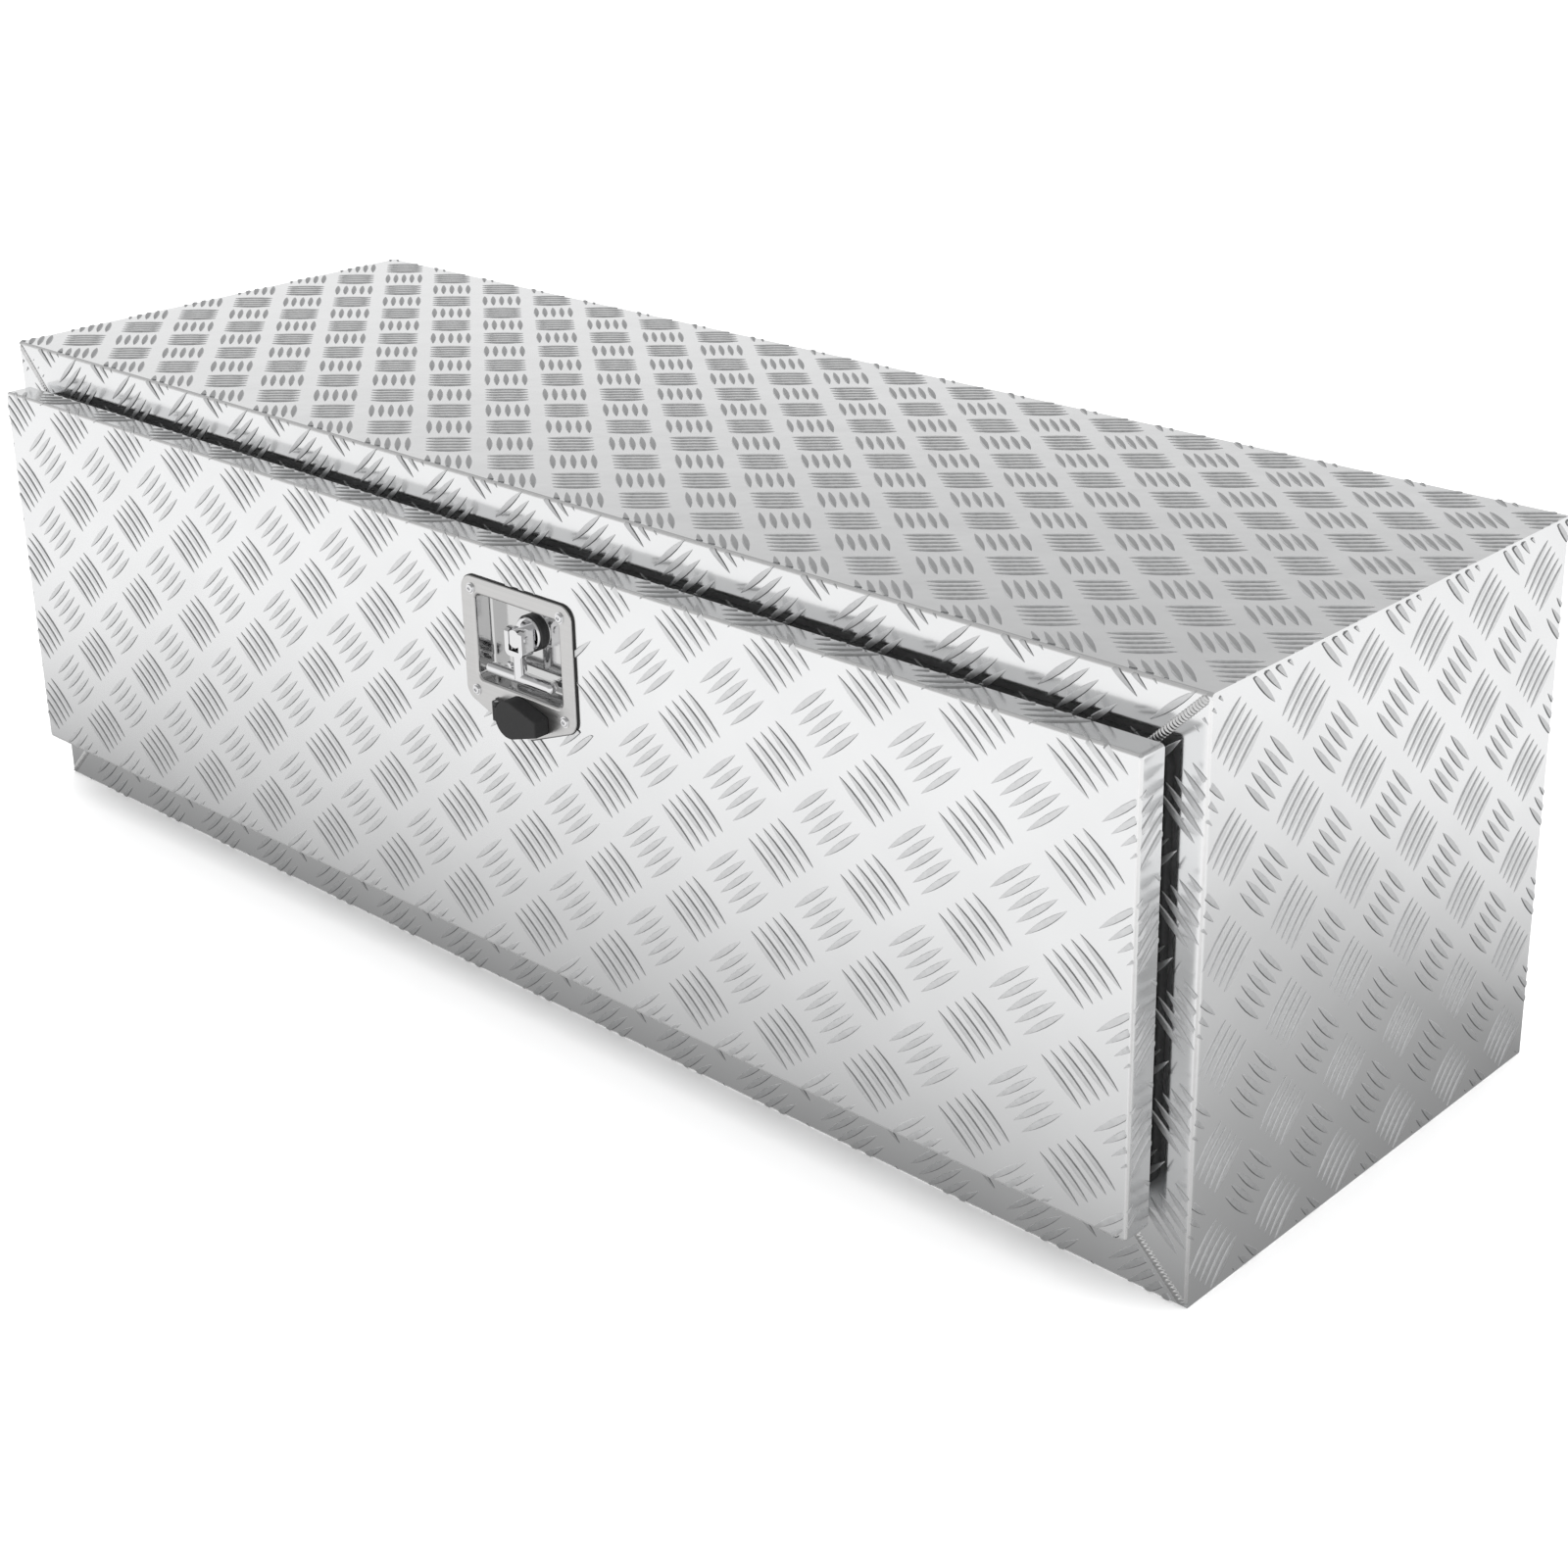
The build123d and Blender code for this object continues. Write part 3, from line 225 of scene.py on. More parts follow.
PLAIN_ALUMINIUM = finish("plain_aluminium", (0.78, 0.785, 0.79), 0.32, scale=(20, 20, 90))
# a near-white colour for thin strips on the folds: a painted highlight
FOLD_HIGHLIGHT_PAINT = finish("painted_fold_highlight", (0.97, 0.97, 0.97), 0.35, mottle=0.02, scale=FINE)
WELD = finish(
    "weld_bead", (0.66, 0.66, 0.66), 0.28,
    mottle=0.12, rough_spread=0.1, scale=(260, 260, 260), bump=0.2,
)
STAINLESS = finish(
    "brushed_stainless", (0.64, 0.635, 0.63), 0.3,
    mottle=0.03, scale=(18, 400, 900), bump=0.05,
)
CHROME = finish("polished_chrome", (0.8, 0.8, 0.81), 0.07, mottle=0.01, rough_spread=0.02, bump=0)
ZINC = finish("zinc_steel", (0.62, 0.63, 0.64), 0.34, mottle=0.08, scale=(160, 160, 160))
BLACK_PLASTIC = finish(
    "black_plastic", (0.018, 0.018, 0.019), 0.42,
    metallic=0.0, mottle=0.2, scale=(500, 500, 500),
)
CAP_RUBBER = finish(
    "cap_rubber", (0.01, 0.01, 0.0105), 0.6,
    metallic=0.0, mottle=0.2, scale=(600, 600, 600), bump=0.1,
)
SEAL_RUBBER = finish(
    "seal_rubber", (0.012, 0.012, 0.012), 0.62,
    metallic=0.0, mottle=0.25, scale=(400, 400, 400), bump=0.1,
)

NODE_FINISH = {
    "tread_plate": CASE_SHEET,
    "door_tread_plate": DOOR_SHEET,
    "plain_aluminium": PLAIN_ALUMINIUM,
    "weld_bead": WELD,
    "brushed_stainless": STAINLESS,
    "polished_chrome": CHROME,
    "zinc_steel": ZINC,
    "black_plastic": BLACK_PLASTIC,
    "cap_rubber": CAP_RUBBER,
    "seal_rubber": SEAL_RUBBER,
}


def finish_nodes():
    """Gives every CAD node the finish of its material slot in the record."""
    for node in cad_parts.values():
        for material_slot in node.material_slots:
            slot_name = material_slot.material.name.split(".")[0]
            material_slot.material = NODE_FINISH[slot_name]
    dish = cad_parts["lock_dish"]
    polished = ((0.66, 0.66, 0.66, 1), 0.07)
    dish.material_slots[0].material = recessed(STAINLESS, polished, dish, DISH_LOW)


# ---------------------------------------------------------------- meshes
def piece(name, verts, faces, materials, body, which=None, sharp=40):
    """A new visible mesh that rides on a body, smooth apart from its sharp edges."""
    mesh = bpy.data.meshes.new(name)
    mesh.from_pydata(verts, [], faces)
    for material in materials:
        mesh.materials.append(material)
    if which:
        mesh.polygons.foreach_set("material_index", which)
    mesh.polygons.foreach_set("use_smooth", [True] * len(mesh.polygons))
    mesh.validate()
    mesh.set_sharp_from_angle(angle=math.radians(sharp))
    made = bpy.data.objects.new(name, mesh)
    bpy.context.scene.collection.objects.link(made)
    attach(made, body)
    return made


class Section:
    """A sheet folded outward by right angles, seen end on and measured along its outer face.

    start is a point of the face, ahead the direction of travel there and out the way the
    face looks, all in a plane. flats are the straight runs, folds the radii between them.
    """

    def __init__(self, start, ahead, out, flats, folds):
        self.runs = []
        point, ahead, out = (np.array(value, float) for value in (start, ahead, out))
        travelled = 0.0
        for flat, fold in zip(flats, (*folds, None)):
            self.runs.append((travelled, travelled + flat, point, ahead, out, None))
            point = point + ahead * flat
            travelled += flat
            if fold is None:
                break
            arc = fold * math.pi / 2
            self.runs.append((travelled, travelled + arc, point, ahead, out, fold))
            point = point + (ahead - out) * fold
            ahead, out = -out, ahead
            travelled += arc
        self.length = travelled

    def at(self, travelled):
        """Points and outward normals at these distances along the face."""
        travelled = np.asarray(travelled, float)
        points = np.zeros((*travelled.shape, 2))
        normals = np.zeros((*travelled.shape, 2))
        for index, (start, end, point, ahead, out, fold) in enumerate(self.runs):
            inside = (travelled >= start) | (index == 0)
            along = (travelled[inside] - start)[..., None]
            if fold is None:
                points[inside] = point + ahead * along
                normals[inside] = out
            else:
                turn = along / fold
                normal = out * np.cos(turn) + ahead * np.sin(turn)
                points[inside] = point - out * fold + normal * fold
                normals[inside] = normal
        return points, normals


def lattice(region, pitch, start):
    """Bars that may reach into a region (u0, u1, v0, v1): middle, along, across and slant.

    The bars lie along the diagonals of the pattern's rectangles. Bars of one group are
    stepped along the other diagonal, so that their ends make a slanting row.
    """
    pitch, start = np.array(pitch), np.array(start)
    diagonal = math.hypot(*pitch)
    first = np.floor((np.array(region[::2]) - start) / pitch).astype(int) - 1
    last = np.ceil((np.array(region[1::2]) - start) / pitch).astype(int) + 1
    bars = []
    for slant in (1, -1):
        shift = 0.0 if slant > 0 else 0.5
        along = pitch * (1, slant) / diagonal
        across = np.array([-along[1], along[0]])
        step = pitch * (1, -slant) * STEP_SHARE
        for i in range(first[0], last[0] + 1):
            for j in range(first[1], last[1] + 1):
                middle = start + pitch * (i + shift, j + shift)
                for k in range(BARS_IN_GROUP):
                    offset = k - (BARS_IN_GROUP - 1) / 2
                    bars.append((middle + step * offset, along, across, int(slant < 0)))
    return bars


def half_width(s, length):
    """Half the width of a bar, s from its middle: a lens with pointed tips."""
    return BAR_W / 2 * (1 - (2 * s / length) ** 2) + BAR_TIP


def beside_hole(middle, hole):
    """The limit that keeps a bar off a hole, or None for a bar with its middle in it."""
    u0, u1, v0, v1 = hole
    sides = [
        (u0 - middle[0], (1, 0, u0)),
        (middle[0] - u1, (-1, 0, -u1)),
        (v0 - middle[1], (0, 1, v0)),
        (middle[1] - v1, (0, -1, -v1)),
    ]
    room, limit = max(sides)
    return limit if room > 0 else None


def bar_faces(first, flip):
    """Faces of one closed bar whose vertices start at index first."""
    ribs = len(RIBS)
    faces = []
    for k in range(STATIONS - 1):
        near, far = first + k * ribs, first + (k + 1) * ribs
        for r in range(ribs):
            after = (r + 1) % ribs
            faces.append((near + r, far + r, far + after, near + after))
    faces.append(tuple(first + r for r in range(ribs)))
    last = first + (STATIONS - 1) * ribs
    faces.append(tuple(last + r for r in reversed(range(ribs))))
    return [tuple(reversed(face)) for face in faces] if flip else faces


def tread(regions, pitch, start, place, shade_side, hole=None):
    """Vertices, faces and finishes of the tread bars of one sheet, cut at its regions' edges.

    A region is (u0, u1, v0, v1, extra limits), and a limit (a, b, c) keeps a*u + b*v <= c.
    place turns flat (u, v) into points and normals in space. Bars that slant up are of
    finish 0, and the others of finish 1, a darker copy as painted shade. The steep edge on the side
    given by the fifth argument is of finish 2, a dark colour that is painted shade.
    """
    verts, faces, which = [], [], []
    length = LENGTH_SHARE * math.hypot(*pitch)
    spacing = (1 - np.cos(np.linspace(0, math.pi, STATIONS))) / 2
    for u0, u1, v0, v1, extra in regions:
        sides = [(-1, 0, -u0), (1, 0, u1), (0, -1, -v0), (0, 1, v1), *extra]
        for middle, along, across, lean in lattice((u0, u1, v0, v1), pitch, start):
            limits = sides
            if hole:
                beside = beside_hole(middle, hole)
                if beside is None:
                    continue
                limits = [*sides, beside]
            low = np.full(len(RIBS), -length / 2)
            high = np.full(len(RIBS), length / 2)
            kept = True
            for a, b, c in limits:
                rate = a * along[0] + b * along[1]
                side = a * across[0] + b * across[1]
                room = c - (a * middle[0] + b * middle[1])
                if abs(rate) < LEVEL:
                    kept = kept and room > abs(side) * half_width(0, length)
                    continue
                end = high if rate > 0 else low
                for _ in range(CUT_ROUNDS):
                    cut = (room - RIBS * half_width(end, length) * side) / rate
                    cut = np.clip(cut, -length / 2, length / 2)
                    end[:] = np.minimum(high, cut) if rate > 0 else np.maximum(low, cut)
            if not kept or high[MID_RIB] - low[MID_RIB] < SHORTEST_BAR:
                continue
            crossed = high < low
            low[crossed] = high[crossed] = (low[crossed] + high[crossed]) / 2
            s = low + (high - low) * spacing[:, None]
            w = RIBS * half_width(s, length)
            flat = middle + s[..., None] * along + w[..., None] * across
            crown = np.sqrt(np.clip(1 - (2 * s / length) ** 2, 0, 1))
            rise = np.where(RIB_RISE > 0, RIB_RISE * crown, RIB_RISE) * BAR_H
            points, normals = place(flat[..., 0], flat[..., 1])
            solid = points + normals * rise[..., None]
            near = solid[MID_STATION, MID_RIB]
            ahead = solid[MID_STATION + 1, MID_RIB] - near
            aside = solid[MID_STATION, MID_RIB + 1] - near
            flip = np.dot(np.cross(ahead, aside), normals[MID_STATION, MID_RIB]) < 0
            faces += bar_faces(len(verts), flip)
            # the steep edge that gets the painted shade colour
            shaded = FIRST_STEEP if np.dot(across, shade_side) < 0 else LAST_STEEP
            for _ in range(STATIONS - 1):
                which += [SHADED_EDGE_FINISH if r == shaded else lean for r in range(len(RIBS))]
            which += [lean, lean]
            verts += solid.reshape(-1, 3).tolist()
    return verts, faces, which


def along_x(section, travel):
    """Places flat (x, v) on a section in the YZ plane; travel turns v into distance."""
    def place(u, v):
        points, normals = section.at(travel(v))
        x = np.asarray(u)[..., None]
        return np.concatenate([x, points], -1), np.concatenate([0 * x, normals], -1)
    return place


def along_z(section, travel, sign=1):
    """Places flat (u, z) on a section in the XY plane, mirrored to the left for sign -1."""
    def place(u, v):
        points, normals = section.at(travel(u))
        z = np.asarray(v)[..., None]
        mirror = np.array([sign, 1])
        return np.concatenate([points * mirror, z], -1), np.concatenate([normals * mirror, 0 * z], -1)
    return place


def on_flat(origin, right, up, out):
    """Places flat (u, v) on a plane."""
    origin, right, up, out = (np.array(value, float) for value in (origin, right, up, out))

    def place(u, v):
        points = origin + u[..., None] * right + v[..., None] * up
        return points, np.zeros_like(points) + out
    return place


def flange_tread(name, section, travel, regions, start):
    """Bars on one long front flange of the case and on the lip behind it."""
    verts, faces, which = tread(
        regions, FRONT_PITCH, start, along_x(section, travel), SHADE_RIGHT,
    )
    piece(name, verts, faces, FLANGE_BARS, "case", which)


def case_tread():
    """Bars on all the outer faces of the case."""
    flat_d = 2 * HALF_D - CASE_FOLD
    lip_flat = LIP_DEPTH - LIP_FOLD
    arc = CASE_FOLD * math.pi / 2
    right = HALF_L - EDGE_CLEAR
    inner_x = OPEN_X - EDGE_CLEAR
    mitre = HALF_L - WELD_CLEAR * math.sqrt(2)
    bend_v = -HALF_D + CASE_FOLD
    level = [(-right, right, bend_v, HALF_D - EDGE_CLEAR, [])]
    for name, height, up, start in (
        ("top_tread_bars", BOX_H, 1, TOP_START),
        ("bottom_tread_bars", 0.0, -1, BOTTOM_START),
    ):
        place = on_flat((0, 0, height), (1, 0, 0), (0, 1, 0), (0, 0, up))
        verts, faces, which = tread(level, TOP_PITCH, start, place, SHADE_BELOW)
        piece(name, verts, faces, TOP_BARS, "case", which)

    top = Section(
        (HALF_D, BOX_H), (-1, 0), (0, 1),
        (flat_d, BOX_H - OPEN_TOP - CASE_FOLD - LIP_FOLD, lip_flat), (CASE_FOLD, LIP_FOLD),
    )
    bend_z = BOX_H - CASE_FOLD
    behind_door = DOOR_HIGH.z - BEHIND_DOOR
    lip_end = bend_z - (top.length - flat_d - arc) + EDGE_CLEAR
    regions = [
        (
            -right, right, behind_door, BOX_H - CASE_FOLD / 4,
            [(1, -1, mitre - BOX_H), (-1, -1, mitre - BOX_H)],
        ),
        (-inner_x, inner_x, lip_end, behind_door, []),
    ]
    travel = lambda z: flat_d + arc + bend_z - z
    flange_tread("top_flange_tread_bars", top, travel, regions, HEAD_START)

    bottom = Section(
        (HALF_D, 0.0), (-1, 0), (0, -1),
        (flat_d, SILL - CASE_FOLD - LIP_FOLD, lip_flat), (CASE_FOLD, LIP_FOLD),
    )
    behind_door = DOOR_LOW.z + BEHIND_DOOR
    lip_end = CASE_FOLD + bottom.length - flat_d - arc - EDGE_CLEAR
    regions = [
        (-right, right, CASE_FOLD / 4, behind_door, [(1, 1, mitre), (-1, 1, mitre)]),
        (-inner_x, inner_x, behind_door, lip_end, []),
    ]
    travel = lambda z: flat_d + arc + z - CASE_FOLD
    flange_tread("bottom_flange_tread_bars", bottom, travel, regions, SILL_START)

    end = Section(
        (HALF_L, HALF_D), (0, -1), (1, 0),
        (flat_d, END_FLANGE - CASE_FOLD - LIP_FOLD, lip_flat), (CASE_FOLD, LIP_FOLD),
    )
    inner_u = bend_v - arc - (END_FLANGE - CASE_FOLD - LIP_FOLD)
    z_low, z_high = SHEET + EDGE_CLEAR, BOX_H - SHEET - EDGE_CLEAR
    reach = HALF_L - mitre
    corners = [(-1, 1, BOX_H - reach - bend_v), (-1, -1, -reach - bend_v)]
    regions = [
        (inner_u, HALF_D - EDGE_CLEAR, z_low, z_high, corners),
        (HALF_D - end.length + EDGE_CLEAR, inner_u, SILL + EDGE_CLEAR, OPEN_TOP - EDGE_CLEAR, []),
    ]
    for side, sign in (("left", -1), ("right", 1)):
        place = along_z(end, lambda u: HALF_D - u, sign)
        verts, faces, which = tread(regions, END_PITCH, END_START, place, SHADE_BELOW)
        piece(f"{side}_end_tread_bars", verts, faces, SIDE_BARS, "case", which)

    inset = SHEET + EDGE_CLEAR
    regions = [(-HALF_L + inset, HALF_L - inset, z_low, z_high, [])]
    place = on_flat((0, HALF_D, 0), (-1, 0, 0), (0, 0, 1), (0, 1, 0))
    verts, faces, which = tread(regions, FRONT_PITCH, BACK_START, place, SHADE_BELOW)
    piece("back_tread_bars", verts, faces, SIDE_BARS, "case", which)


def door_tread():
    """Bars on the door's face and on the four returns of its pan, round the lock."""
    depth = DOOR_HIGH.y - DOOR_LOW.y
    width = DOOR_HIGH.x - DOOR_LOW.x
    height = DOOR_HIGH.z - DOOR_LOW.z
    side_flat = depth - DOOR_FOLD
    upright = Section(
        (DOOR_HIGH.y, DOOR_HIGH.z), (-1, 0), (0, 1),
        (side_flat, height - 2 * DOOR_FOLD, side_flat), (DOOR_FOLD, DOOR_FOLD),
    )
    level = Section(
        (DOOR_HIGH.x, DOOR_HIGH.y), (0, -1), (1, 0),
        (side_flat, width - 2 * DOOR_FOLD, side_flat), (DOOR_FOLD, DOOR_FOLD),
    )
    fold_run = side_flat + DOOR_FOLD * math.pi / 2
    face_right = DOOR_HIGH.x - DOOR_FOLD
    face_top = DOOR_HIGH.z - DOOR_FOLD
    face_low = DOOR_LOW.z + DOOR_FOLD
    reach = fold_run - EDGE_CLEAR
    corner = face_right - PAN_CORNER
    corners = [
        (1, 1, corner + face_top), (-1, 1, corner + face_top),
        (1, -1, corner - face_low), (-1, -1, corner - face_low),
    ]
    regions = [(-face_right - reach, face_right + reach, face_low - reach, face_top + reach, corners)]

    def place(u, v):
        beside, out_beside = level.at(face_right - u + fold_run)
        above, out_above = upright.at(face_top - v + fold_run)
        y = beside[..., 1] + above[..., 0] - DOOR_LOW.y
        out_y = out_beside[..., 1] + out_above[..., 0] + 1
        points = np.stack([beside[..., 0], y, above[..., 1]], -1)
        return points, np.stack([out_beside[..., 0], out_y, out_above[..., 1]], -1)

    hole = (
        DISH_LOW.x + PLATE_COVER, DISH_HIGH.x - PLATE_COVER,
        DISH_LOW.z + DISH_LOBE + PLATE_COVER, DISH_HIGH.z - PLATE_COVER,
    )
    verts, faces, which = tread(regions, FRONT_PITCH, DOOR_START, place, SHADE_RIGHT, hole)
    piece("door_tread_bars", verts, faces, DOOR_BARS, "door", which)


# ---------------------------------------------------------------- welds
def weld_beads():
    """Rippled beads along the mitres of the front frame, in place of the plain ones."""
    verts, faces = [], []
    for x_sign, z_edge, z_way in ((1, BOX_H, -1), (-1, BOX_H, -1), (1, 0, 1), (-1, 0, 1)):
        start = Vector((x_sign * (HALF_L - BEAD_START), -HALF_D, z_edge + z_way * BEAD_START))
        end = Vector((x_sign * OPEN_X, -HALF_D, z_edge + z_way * END_FLANGE))
        ahead = (end - start).normalized()
        run = (end - start).length
        out = Vector((0, -1, 0))
        side = out.cross(ahead)
        first = len(verts)
        for i in range(BEAD_STATIONS):
            t = run * i / (BEAD_STATIONS - 1)
            inward = min(min(t, run - t) / BEAD_END, 1.0)
            taper = BEAD_TIP + (1 - BEAD_TIP) * math.sqrt(1 - (1 - inward) ** 2)
            for k in range(BEAD_RIBS):
                angle = math.pi * k / (BEAD_RIBS - 1)
                across = math.cos(angle)
                ripple = abs(math.sin(math.pi * (t / RIPPLE + RIPPLE_BEND * across * across)))
                width = BEAD_W / 2 * (1 - RIPPLE_WIDTH * (1 - ripple)) * taper
                height = BEAD_H * math.sin(angle) * (1 - RIPPLE_HEIGHT * (1 - ripple)) * taper
                verts.append(start + ahead * t + side * across * width + out * (height - BEAD_SINK))
        for i in range(BEAD_STATIONS - 1):
            near = first + i * BEAD_RIBS
            for k in range(BEAD_RIBS):
                after = (k + 1) % BEAD_RIBS
                far = near + BEAD_RIBS
                faces.append((near + k, near + after, far + after, far + k))
        faces.append(tuple(reversed(range(first, first + BEAD_RIBS))))
        faces.append(tuple(range(len(verts) - BEAD_RIBS, len(verts))))
    wound = outward(verts, faces)
    made = piece("mitre_weld_beads", verts, wound, (WELD,), "case", sharp=60)
    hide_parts("corner_welds")


def fold_highlight_strips(name, folds, body):
    """Painted highlights on folds: thin bright strips that follow the folds' outer faces.

    A fold is the two ends of its axis, the way both its flat faces look, and its radius.
    """
    verts, faces = [], []
    for start, end, first_out, second_out, radius in folds:
        first_out, second_out = Vector(first_out), Vector(second_out)
        first = len(verts)
        for point in (Vector(start), Vector(end)):
            for reach in (radius + LINE_RISE, radius - LINE_SINK):
                angles = LINE_ANGLES if reach > radius else reversed(LINE_ANGLES)
                for angle in angles:
                    turn = math.radians(angle)
                    out = first_out * math.cos(turn) + second_out * math.sin(turn)
                    verts.append(point + out * reach)
        ring = 2 * len(LINE_ANGLES)
        for k in range(ring):
            after = (k + 1) % ring
            faces.append((first + k, first + after, first + ring + after, first + ring + k))
        faces.append(tuple(reversed(range(first, first + ring))))
        faces.append(tuple(range(first + ring, first + 2 * ring)))
    piece(name, verts, outward(verts, faces), (FOLD_HIGHLIGHT_PAINT,), body)


def outward(verts, faces):
    """The same faces, each wound so that its side of a closed solid looks outward."""
    rough_mesh = bpy.data.meshes.new("winding")
    rough_mesh.from_pydata(verts, [], faces)
    work = bmesh.new()
    work.from_mesh(rough_mesh)
    bmesh.ops.recalc_face_normals(work, faces=work.faces)
    wound = [tuple(vert.index for vert in face.verts) for face in work.faces]
    work.free()
    bpy.data.meshes.remove(rough_mesh)
    return wound


def paint_fold_highlights():
    """Painted highlight lines along the front folds of the case and round the door's face."""
    front, back_of_fold = (0, -1, 0), -HALF_D + CASE_FOLD
    near_x, far_x = -HALF_L + LINE_INSET, HALF_L - LINE_INSET
    folds = []
    for z, up in ((BOX_H - CASE_FOLD, 1), (CASE_FOLD, -1)):
        ends = ((near_x, back_of_fold, z), (far_x, back_of_fold, z))
        folds.append((*ends, front, (0, 0, up), CASE_FOLD))
    for side in (-1, 1):
        x = side * (HALF_L - CASE_FOLD)
        ends = ((x, back_of_fold, LINE_INSET), (x, back_of_fold, BOX_H - LINE_INSET))
        folds.append((*ends, front, (side, 0, 0), CASE_FOLD))
    fold_highlight_strips("case_fold_painted_highlights", folds, "case")

    y = DOOR_LOW.y + DOOR_FOLD
    left, right = DOOR_LOW.x + DOOR_FOLD, DOOR_HIGH.x - DOOR_FOLD
    low, high = DOOR_LOW.z + DOOR_FOLD, DOOR_HIGH.z - DOOR_FOLD
    folds = [
        ((left, y, high), (right, y, high), front, (0, 0, 1), DOOR_FOLD),
        ((left, y, low), (right, y, low), front, (0, 0, -1), DOOR_FOLD),
        ((left, y, low), (left, y, high), front, (-1, 0, 0), DOOR_FOLD),
        ((right, y, low), (right, y, high), front, (1, 0, 0), DOOR_FOLD),
    ]
    fold_highlight_strips("door_fold_painted_highlights", folds, "door")


# ---------------------------------------------------------------- stage
FLOOR_HALF = 30.0
REFLECTED_HEIGHT = 0.5 * MM
SIDE_SPREAD, FRONT_SPREAD = 0.95, 1.45
# painted shade for the glowing sheet that the metal sees: grey levels by distance from the box, and a
# darker patch off its front right corner
REFLECTED_SHADE_TONES = ((0.0, 0.3), (0.1, 0.45), (0.2, 0.62), (0.36, 0.8), (0.55, 0.93), (0.8, 1.0))
CORNER_SHADE_TONES = ((0.0, 1.0), (0.2, 0.4))
DARK_REACH = 0.75
DARK_SIDE, DARK_FRONT = 0.02, 0.1
SKY_TONES = (
    (0.0, 1.0), (0.2, 0.97), (0.265, 0.84), (0.32, 0.66), (0.4, 0.5), (0.6, 0.42), (1.0, 0.42),
)


def flat_square(name, half, height):
    """A square sheet that lies level, centred under the object."""
    mesh = bpy.data.meshes.new(name)
    corners = [(x, y, height) for x, y in ((-half, -half), (half, -half), (half, half), (-half, half))]
    mesh.from_pydata(corners, [], [(0, 1, 2, 3)])
    made = bpy.data.objects.new(name, mesh)
    bpy.context.scene.collection.objects.link(made)
    return made


def calculate(nodes, links, operation, first, second=None):
    """A math node on values or sockets; returns its output."""
    node = nodes.new("ShaderNodeMath")
    node.operation = operation
    for socket, value in zip(node.inputs, (first, second)):
        if isinstance(value, bpy.types.NodeSocket):
            links.new(value, socket)
        elif value is not None:
            socket.default_value = value
    return node.outputs[0]


def floor():
    """A plain pale floor."""
    made = flat_square("floor", FLOOR_HALF, 0.0)
    material = bpy.data.materials.new("floor")
    material.use_nodes = True
    shader = material.node_tree.nodes["Principled BSDF"]
    shader.inputs["Base Color"].default_value = (0.95, 0.95, 0.95, 1)
    shader.inputs["Roughness"].default_value = 0.9
    shader.inputs["Specular IOR Level"].default_value = 0.0
    made.data.materials.append(material)
    made.visible_glossy = False


def ramp(nodes, links, value, steps):
    """Grey levels at these values, with straight runs between them; returns a colour."""
    node = nodes.new("ShaderNodeValToRGB")
    while len(node.color_ramp.elements) < len(steps):
        node.color_ramp.elements.new(0.5)
    for element, (position, grey) in zip(node.color_ramp.elements, steps):
        element.position = position
        element.color = (grey, grey, grey, 1)
    links.new(value, node.inputs["Fac"])
    return node.outputs["Color"]


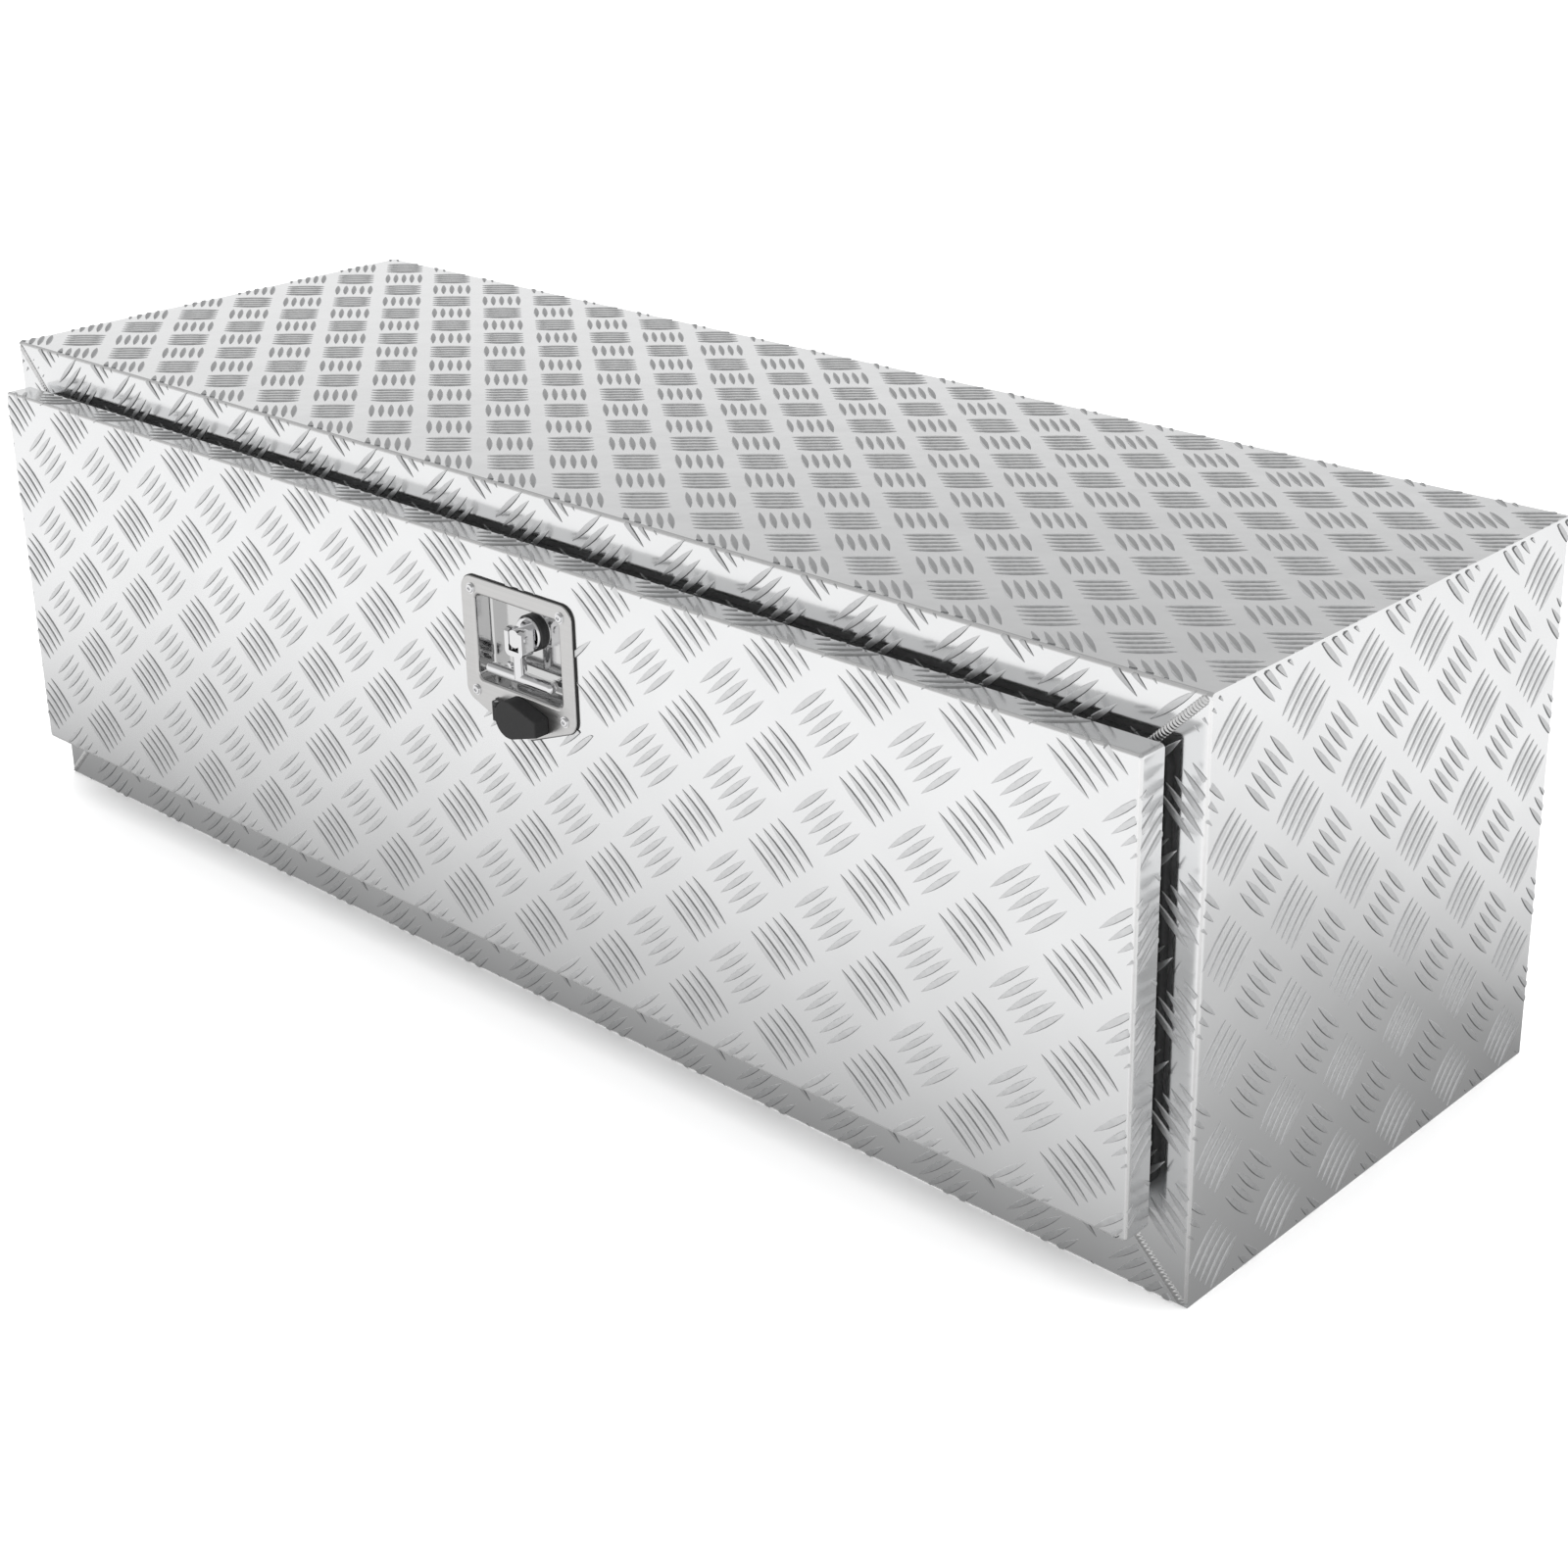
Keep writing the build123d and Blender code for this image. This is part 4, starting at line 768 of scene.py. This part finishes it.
def painted_floor_reflection():
    """The floor that the polished metal sees, a painted reflection: grey round the box as painted
    shade, paler away from it.

    It is a glowing sheet that only reflections show, so the floor itself stays pale. It is
    darker off the front right corner of the box, more painted shade.
    """
    made = flat_square("painted_floor_reflection", FLOOR_HALF, REFLECTED_HEIGHT)
    made.visible_camera = False
    made.visible_diffuse = False
    made.visible_shadow = False
    made.visible_transmission = False
    made.visible_volume_scatter = False
    material = bpy.data.materials.new("painted_floor_reflection")
    material.use_nodes = True
    nodes = material.node_tree.nodes
    links = material.node_tree.links
    nodes.remove(nodes["Principled BSDF"])
    place = nodes.new("ShaderNodeTexCoord")
    split = nodes.new("ShaderNodeSeparateXYZ")
    links.new(place.outputs["Object"], split.inputs["Vector"])
    x, y = split.outputs["X"], split.outputs["Y"]
    beside = calculate(nodes, links, "SUBTRACT", calculate(nodes, links, "ABSOLUTE", x), HALF_L)
    before = calculate(nodes, links, "SUBTRACT", calculate(nodes, links, "ABSOLUTE", y), HALF_D)
    beside = calculate(nodes, links, "MAXIMUM", beside, 0.0)
    before = calculate(nodes, links, "MAXIMUM", before, 0.0)
    beside = calculate(nodes, links, "MULTIPLY", beside, SIDE_SPREAD)
    before = calculate(nodes, links, "MULTIPLY", before, FRONT_SPREAD)
    apart = calculate(
        nodes, links, "SQRT",
        calculate(
            nodes, links, "ADD",
            calculate(nodes, links, "POWER", beside, 2.0),
            calculate(nodes, links, "POWER", before, 2.0),
        ),
    )
    pale = ramp(nodes, links, apart, REFLECTED_SHADE_TONES)
    right = calculate(nodes, links, "SUBTRACT", x, HALF_L + DARK_SIDE)
    front = calculate(nodes, links, "SUBTRACT", -HALF_D - DARK_FRONT, y)
    near = calculate(nodes, links, "SUBTRACT", DARK_REACH, apart)
    corner = calculate(nodes, links, "MINIMUM", right, front)
    corner = calculate(nodes, links, "MINIMUM", corner, near)
    dark = ramp(nodes, links, corner, CORNER_SHADE_TONES)
    mix = nodes.new("ShaderNodeMix")
    mix.data_type = "RGBA"
    mix.blend_type = "MULTIPLY"
    mix.inputs[0].default_value = 1.0
    links.new(pale, mix.inputs[6])
    links.new(dark, mix.inputs[7])
    glow = nodes.new("ShaderNodeEmission")
    links.new(mix.outputs[2], glow.inputs["Color"])
    links.new(glow.outputs["Emission"], nodes["Material Output"].inputs["Surface"])
    made.data.materials.append(material)


def studio():
    """Soft light from above and a quiet studio, bright low down and greyer overhead."""
    world = bpy.data.worlds.new("studio")
    bpy.context.scene.world = world
    world.use_nodes = True
    nodes = world.node_tree.nodes
    links = world.node_tree.links
    place = nodes.new("ShaderNodeTexCoord")
    split = nodes.new("ShaderNodeSeparateXYZ")
    links.new(place.outputs["Generated"], split.inputs["Vector"])
    sky = ramp(nodes, links, split.outputs["Z"], SKY_TONES)
    links.new(sky, nodes["Background"].inputs["Color"])
    nodes["Background"].inputs["Strength"].default_value = 1.0

    light = bpy.data.lights.new("overhead", "SUN")
    light.angle = math.radians(140)
    light.energy = 4.2
    lamp = bpy.data.objects.new("overhead", light)
    lamp.rotation_euler = (math.radians(-8), math.radians(-8), 0)
    lamp.visible_glossy = False
    bpy.context.scene.collection.objects.link(lamp)


def camera():
    """The camera that matches the view of the object: from its front right, looking down."""
    data = bpy.data.cameras.new("camera")
    data.sensor_width = 36.0
    data.lens = 59.18
    data.shift_y = -0.094
    made = bpy.data.objects.new("camera", data)
    turn = (
        Matrix.Rotation(math.radians(43.79), 4, "Z")
        @ Matrix.Rotation(math.radians(69.07), 4, "X")
        @ Matrix.Rotation(math.radians(-1.21), 4, "Z")
    )
    made.matrix_world = Matrix.Translation((1.342, -1.304, 0.937)) @ turn
    bpy.context.scene.collection.objects.link(made)
    bpy.context.scene.camera = made


finish_nodes()
case_tread()
door_tread()
weld_beads()
paint_fold_highlights()
floor()
painted_floor_reflection()
studio()
camera()
bpy.context.scene.view_settings.view_transform = "Standard"
